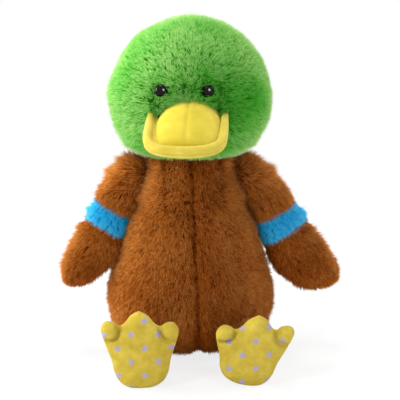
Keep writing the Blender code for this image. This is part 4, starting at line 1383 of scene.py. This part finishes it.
def makeTail():
    share = tableAt(torso["outline"], tail["height"] / neck.z)[0]
    back = torso["halfDepth"] * share - tail["inset"]
    pose = Matrix.Translation((0, back, tail["height"])) @ rotation(tail["lift"] - 90, "X")
    reach = tail["length"] + tail["inset"] - tail["sunk"]
    rows = [(0.0, 0.0)] + [(k / tail["rows"], 1.0) for k in range(tail["rows"])] + [(1.0, 0.0)]

    def place(turn, row):
        along, full = row
        wide, thick = tableAt(tail["form"], along)
        half = (tail["width"] / 2 - tail["sunk"]) * wide * full
        deep = (tail["thickness"] / 2 - tail["sunk"]) * thick * full
        return pose @ Vector((half * math.cos(turn), deep * math.sin(turn), reach * along))

    def describe(point, normal, row):
        comb = pose.to_3x3() @ Vector((0, 0, 1))
        tone = pile["tone"] + patches(point)
        cover = float(row > tail["bareRows"])
        return {"cover": cover, "long": pile["length"], "tone": tone, "comb": comb}

    skin = shapedBall("tailPlush", tail["around"], rows, place, furry=True)
    growPile(skin, pileOf(80, lay=0.8), describe, brownPile)
    settle(skin, "torso", "brown_plush", "tail_cover", fill=0.7)


makeTail()
print("tail done")


# Fillings: lumpy wadding and a cloth pouch of beans, inside the covers

# the body that each filling rides on
fillings = {
    "torso_filling": "torso",
    "tail_filling": "torso",
    "neck_filling": "neck",
    "head_filling": "head",
    "bill_filling": "head",
    "wing_filling_left": "wing_left",
    "wing_filling_right": "wing_right",
    "leg_filling_left": "leg_left",
    "leg_filling_right": "leg_right",
}
lumps = {
    "voxel": 0.0022,
    "height": 0.0004,
    "size": 0.009,
    "beanHeight": 0.0006,
    "beanSize": 0.0045,
    "facing": 0.2,             # seams and creases press on faces that look this much towards them
    "seamPress": 1.1,
    "hollowWall": 0.008,       # the head's wadding keeps its shape this near to the hollow over the neck
    "footReach": 1.6,          # the toes' slump fades out along the leg, from this many bulges
}


def plump(node, name, material, lumpHeight, lumpSize, press=None):
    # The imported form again, with an even mesh and soft lumps that stay inside its cover
    bm = bmesh.new()
    bm.from_mesh(frame["nodes"][node].data)
    bmesh.ops.remove_doubles(bm, verts=bm.verts, dist=1e-5)
    piece = finished(name, bm)
    remesh = piece.modifiers.new("even", "REMESH")
    remesh.mode = "VOXEL"
    remesh.voxel_size = lumps["voxel"]
    grown = applied(piece)
    bm = bmesh.new()
    bm.from_mesh(grown)
    bmesh.ops.smooth_vert(bm, verts=bm.verts, factor=0.5, use_axis_x=True, use_axis_y=True,
                          use_axis_z=True)
    bm.normal_update()
    for vert in bm.verts:
        vert.co -= vert.normal * lumpHeight * (0.5 + 0.5 * noise.noise(vert.co / lumpSize))
        if press:
            vert.co += press(vert.co, vert.normal)
    bm.to_mesh(grown)
    bm.free()
    grown.shade_smooth()
    grown.materials.clear()
    grown.materials.append(material)
    return piece


# Each press says how far a point of a filling moves, so that it gives way as its cover does


def torsoPress(point, normal):
    moved = torsoUneven(point)
    if normal.y < -lumps["facing"]:
        moved.y += seamGroove(point) * lumps["seamPress"]
    return moved


def headPress(point, normal):
    inHollow = (point - neck).length < head["hollowRadius"] + lumps["hollowWall"]
    return Vector() if inHollow or point.z < head["rim"] + head["evenRim"] else uneven(point)


def billPress(point, normal):
    return Vector(bill["shift"]) - normal * bill["waddingSlack"] - Vector((0, 0, bill["waddingDrop"]))


def wingPress(end):
    root, down, out = wingAxes(end)
    depth, middle, width = wing["pinch"][end]

    def press(point, normal):
        along, across = (point - root).dot(down), (point - root).dot(out)
        inner = clamped(-across / wing["pinchAcross"])
        pinched = out * depth * inner * bell(along - middle, width)
        return uneven(point) + down * max(along, 0.0) * (wing["drawnUp"][end] - 1) + pinched

    return press


def footPress(end):
    # The toes' slump, and their creases pressed in from both faces of the foot
    pose = footPose(end)
    back = pose.inverted()

    def press(point, normal):
        spot = back @ point
        facing = back.to_3x3() @ normal
        inFoot = clamped(lumps["footReach"] - spot.y / foot["topBulge"])
        moved = Vector((0, 0, -toeDrop(end, spot.x, spot.z) * inFoot))
        if abs(facing.y) > lumps["facing"] and spot.y < foot["topBulge"]:
            moved.y = -math.copysign(min(toeCrease(spot.x, spot.z), abs(spot.y)), facing.y)
        return pose.to_3x3() @ moved

    return press


presses = {"torso_filling": torsoPress, "head_filling": headPress, "bill_filling": billPress}
for end in sides:
    presses[f"wing_filling_{end}"] = wingPress(end)
    presses[f"leg_filling_{end}"] = footPress(end)
waddingMaterial = wadding()
for node, body in fillings.items():
    name = node.replace("_filling", "Wadding")
    lump = plump(node, name, waddingMaterial, lumps["height"], lumps["size"], presses.get(node))
    settle(lump, body, "stuffing", node, fill=0.7)
pouch = plump("bean_pouch", "beanPouch", pouchCloth(), lumps["beanHeight"], lumps["beanSize"])
settle(pouch, "torso", "bean_pouch_cloth", "bean_pouch", fill=0.5)
washerMaterial = mouldedWasher()
for end in sides:
    washer = frame["nodes"][f"eye_washer_{end}"]
    washer.data.materials.clear()
    washer.data.materials.append(washerMaterial)
bpy.data.objects.remove(strandPiece)
print("fillings done")


# Floor, light and camera

studio = {
    "floor": "#F4F4F4",
    "floorSize": 12.0,
    # the camera sees this share of the floor as its own white, near the toy and far from it, so the
    # shadow stays faint and ends between these distances
    "ownWhite": (0.8, 1.0),
    "whiteFrom": (0.2, 0.8),
    "worldLight": 0.3,
    "aim": (0, 0, 0.15),
    # each lamp's place, diameter and watts, whether it lights, and whether it shows in what is glossy
    "lamps": {
        "keyLeft": ((-1.2, -0.9, 1.2), 0.6, 18, True, False),
        "fillRight": ((0.55, -1.25, 0.8), 0.3, 3.5, True, False),
        "eyeCard": ((0.62, -1.30, 0.66), 0.9, 50, False, True),    # only the eyes' highlights
        "overhead": ((-0.2, 0.3, 1.7), 0.9, 17, True, True),
        "rimLeft": ((-1.3, 0.25, 0.5), 0.7, 15, True, True),
        "rimRight": ((1.3, 0.35, 0.6), 0.7, 10, True, True),
    },
}
camera = {
    "place": (-0.035, -0.799, 0.28),
    "down": 10.22,
    "across": 0.643,           # degrees that the view turns to the right of the duck's axis
    "lens": 80.2,
    "sensor": 36.0,
    "nearest": 0.05,
}


def seenDirectly(tree):
    # 1 where the camera sees it, also in a reflection or through something clear
    rays = addNode(tree, "ShaderNodeLightPath")
    seen = rays.outputs["Is Camera Ray"]
    for kind in ("Is Glossy Ray", "Is Transmission Ray"):
        seen = addNode(tree, "ShaderNodeMath", {0: seen, 1: rays.outputs[kind]}, operation="MAXIMUM")
    return seen


def makeFloor():
    # A pale, wide studio floor
    bm = bmesh.new()
    bmesh.ops.create_grid(bm, x_segments=1, y_segments=1, size=studio["floorSize"])
    material, tree, shader = newMaterial("paleSweep", 0.9)
    shader.inputs["Base Color"].default_value = linear(studio["floor"])
    glow = addNode(tree, "ShaderNodeEmission", {"Color": (1, 1, 1, 1), "Strength": 1.0})
    place = addNode(tree, "ShaderNodeTexCoord")
    away = addNode(tree, "ShaderNodeVectorMath", {0: place.outputs["Object"]}, operation="LENGTH")
    (near, far), (weak, full) = studio["whiteFrom"], studio["ownWhite"]
    glowing = addNode(tree, "ShaderNodeMapRange", {
        "Value": away.outputs["Value"], "From Min": near, "From Max": far, "To Min": weak, "To Max": full,
    })
    share = addNode(tree, "ShaderNodeMath", {0: seenDirectly(tree), 1: glowing}, operation="MULTIPLY")
    both = addNode(tree, "ShaderNodeMixShader", {0: share, 1: shader, 2: glow})
    tree.links.new(both.outputs[0], tree.nodes["Material Output"].inputs["Surface"])
    floor = finished("floor", bm, material)


def addLamp(name, place, size, watts, lights, shines):
    lamp = bpy.data.lights.new(name, "AREA")
    lamp.shape = "DISK"
    lamp.size = size
    lamp.energy = watts
    holder = bpy.data.objects.new(name, lamp)
    holder.visible_diffuse = lights
    holder.visible_glossy = shines
    holder.location = place
    holder.rotation_euler = (Vector(studio["aim"]) - Vector(place)).to_track_quat("-Z", "Y").to_euler()
    bpy.context.scene.collection.objects.link(holder)


def makeWorld():
    world = bpy.data.worlds.new("studio")
    world.use_nodes = True
    tree = world.node_tree
    shade = tree.nodes["Background"]
    shade.inputs["Color"].default_value = (1, 1, 1, 1)
    strength = addNode(tree, "ShaderNodeMapRange", {
        "Value": seenDirectly(tree), "To Min": studio["worldLight"], "To Max": 1.0,
    })
    tree.links.new(strength.outputs[0], shade.inputs["Strength"])
    bpy.context.scene.world = world


def makeCamera():
    data = bpy.data.cameras.new("camera")
    data.lens = camera["lens"]
    data.sensor_width = camera["sensor"]
    data.clip_start = camera["nearest"]
    holder = bpy.data.objects.new("camera", data)
    holder.location = camera["place"]
    toAxis = math.atan2(-camera["place"][0], -camera["place"][1])
    holder.rotation_euler = (math.radians(90 - camera["down"]), 0, -toAxis - math.radians(camera["across"]))
    bpy.context.scene.collection.objects.link(holder)
    bpy.context.scene.camera = holder


makeFloor()
makeWorld()
for name, facts in studio["lamps"].items():
    addLamp(name, *facts)
makeCamera()
print("floor, light and camera done")
bpy.context.scene.view_settings.view_transform = "Standard"
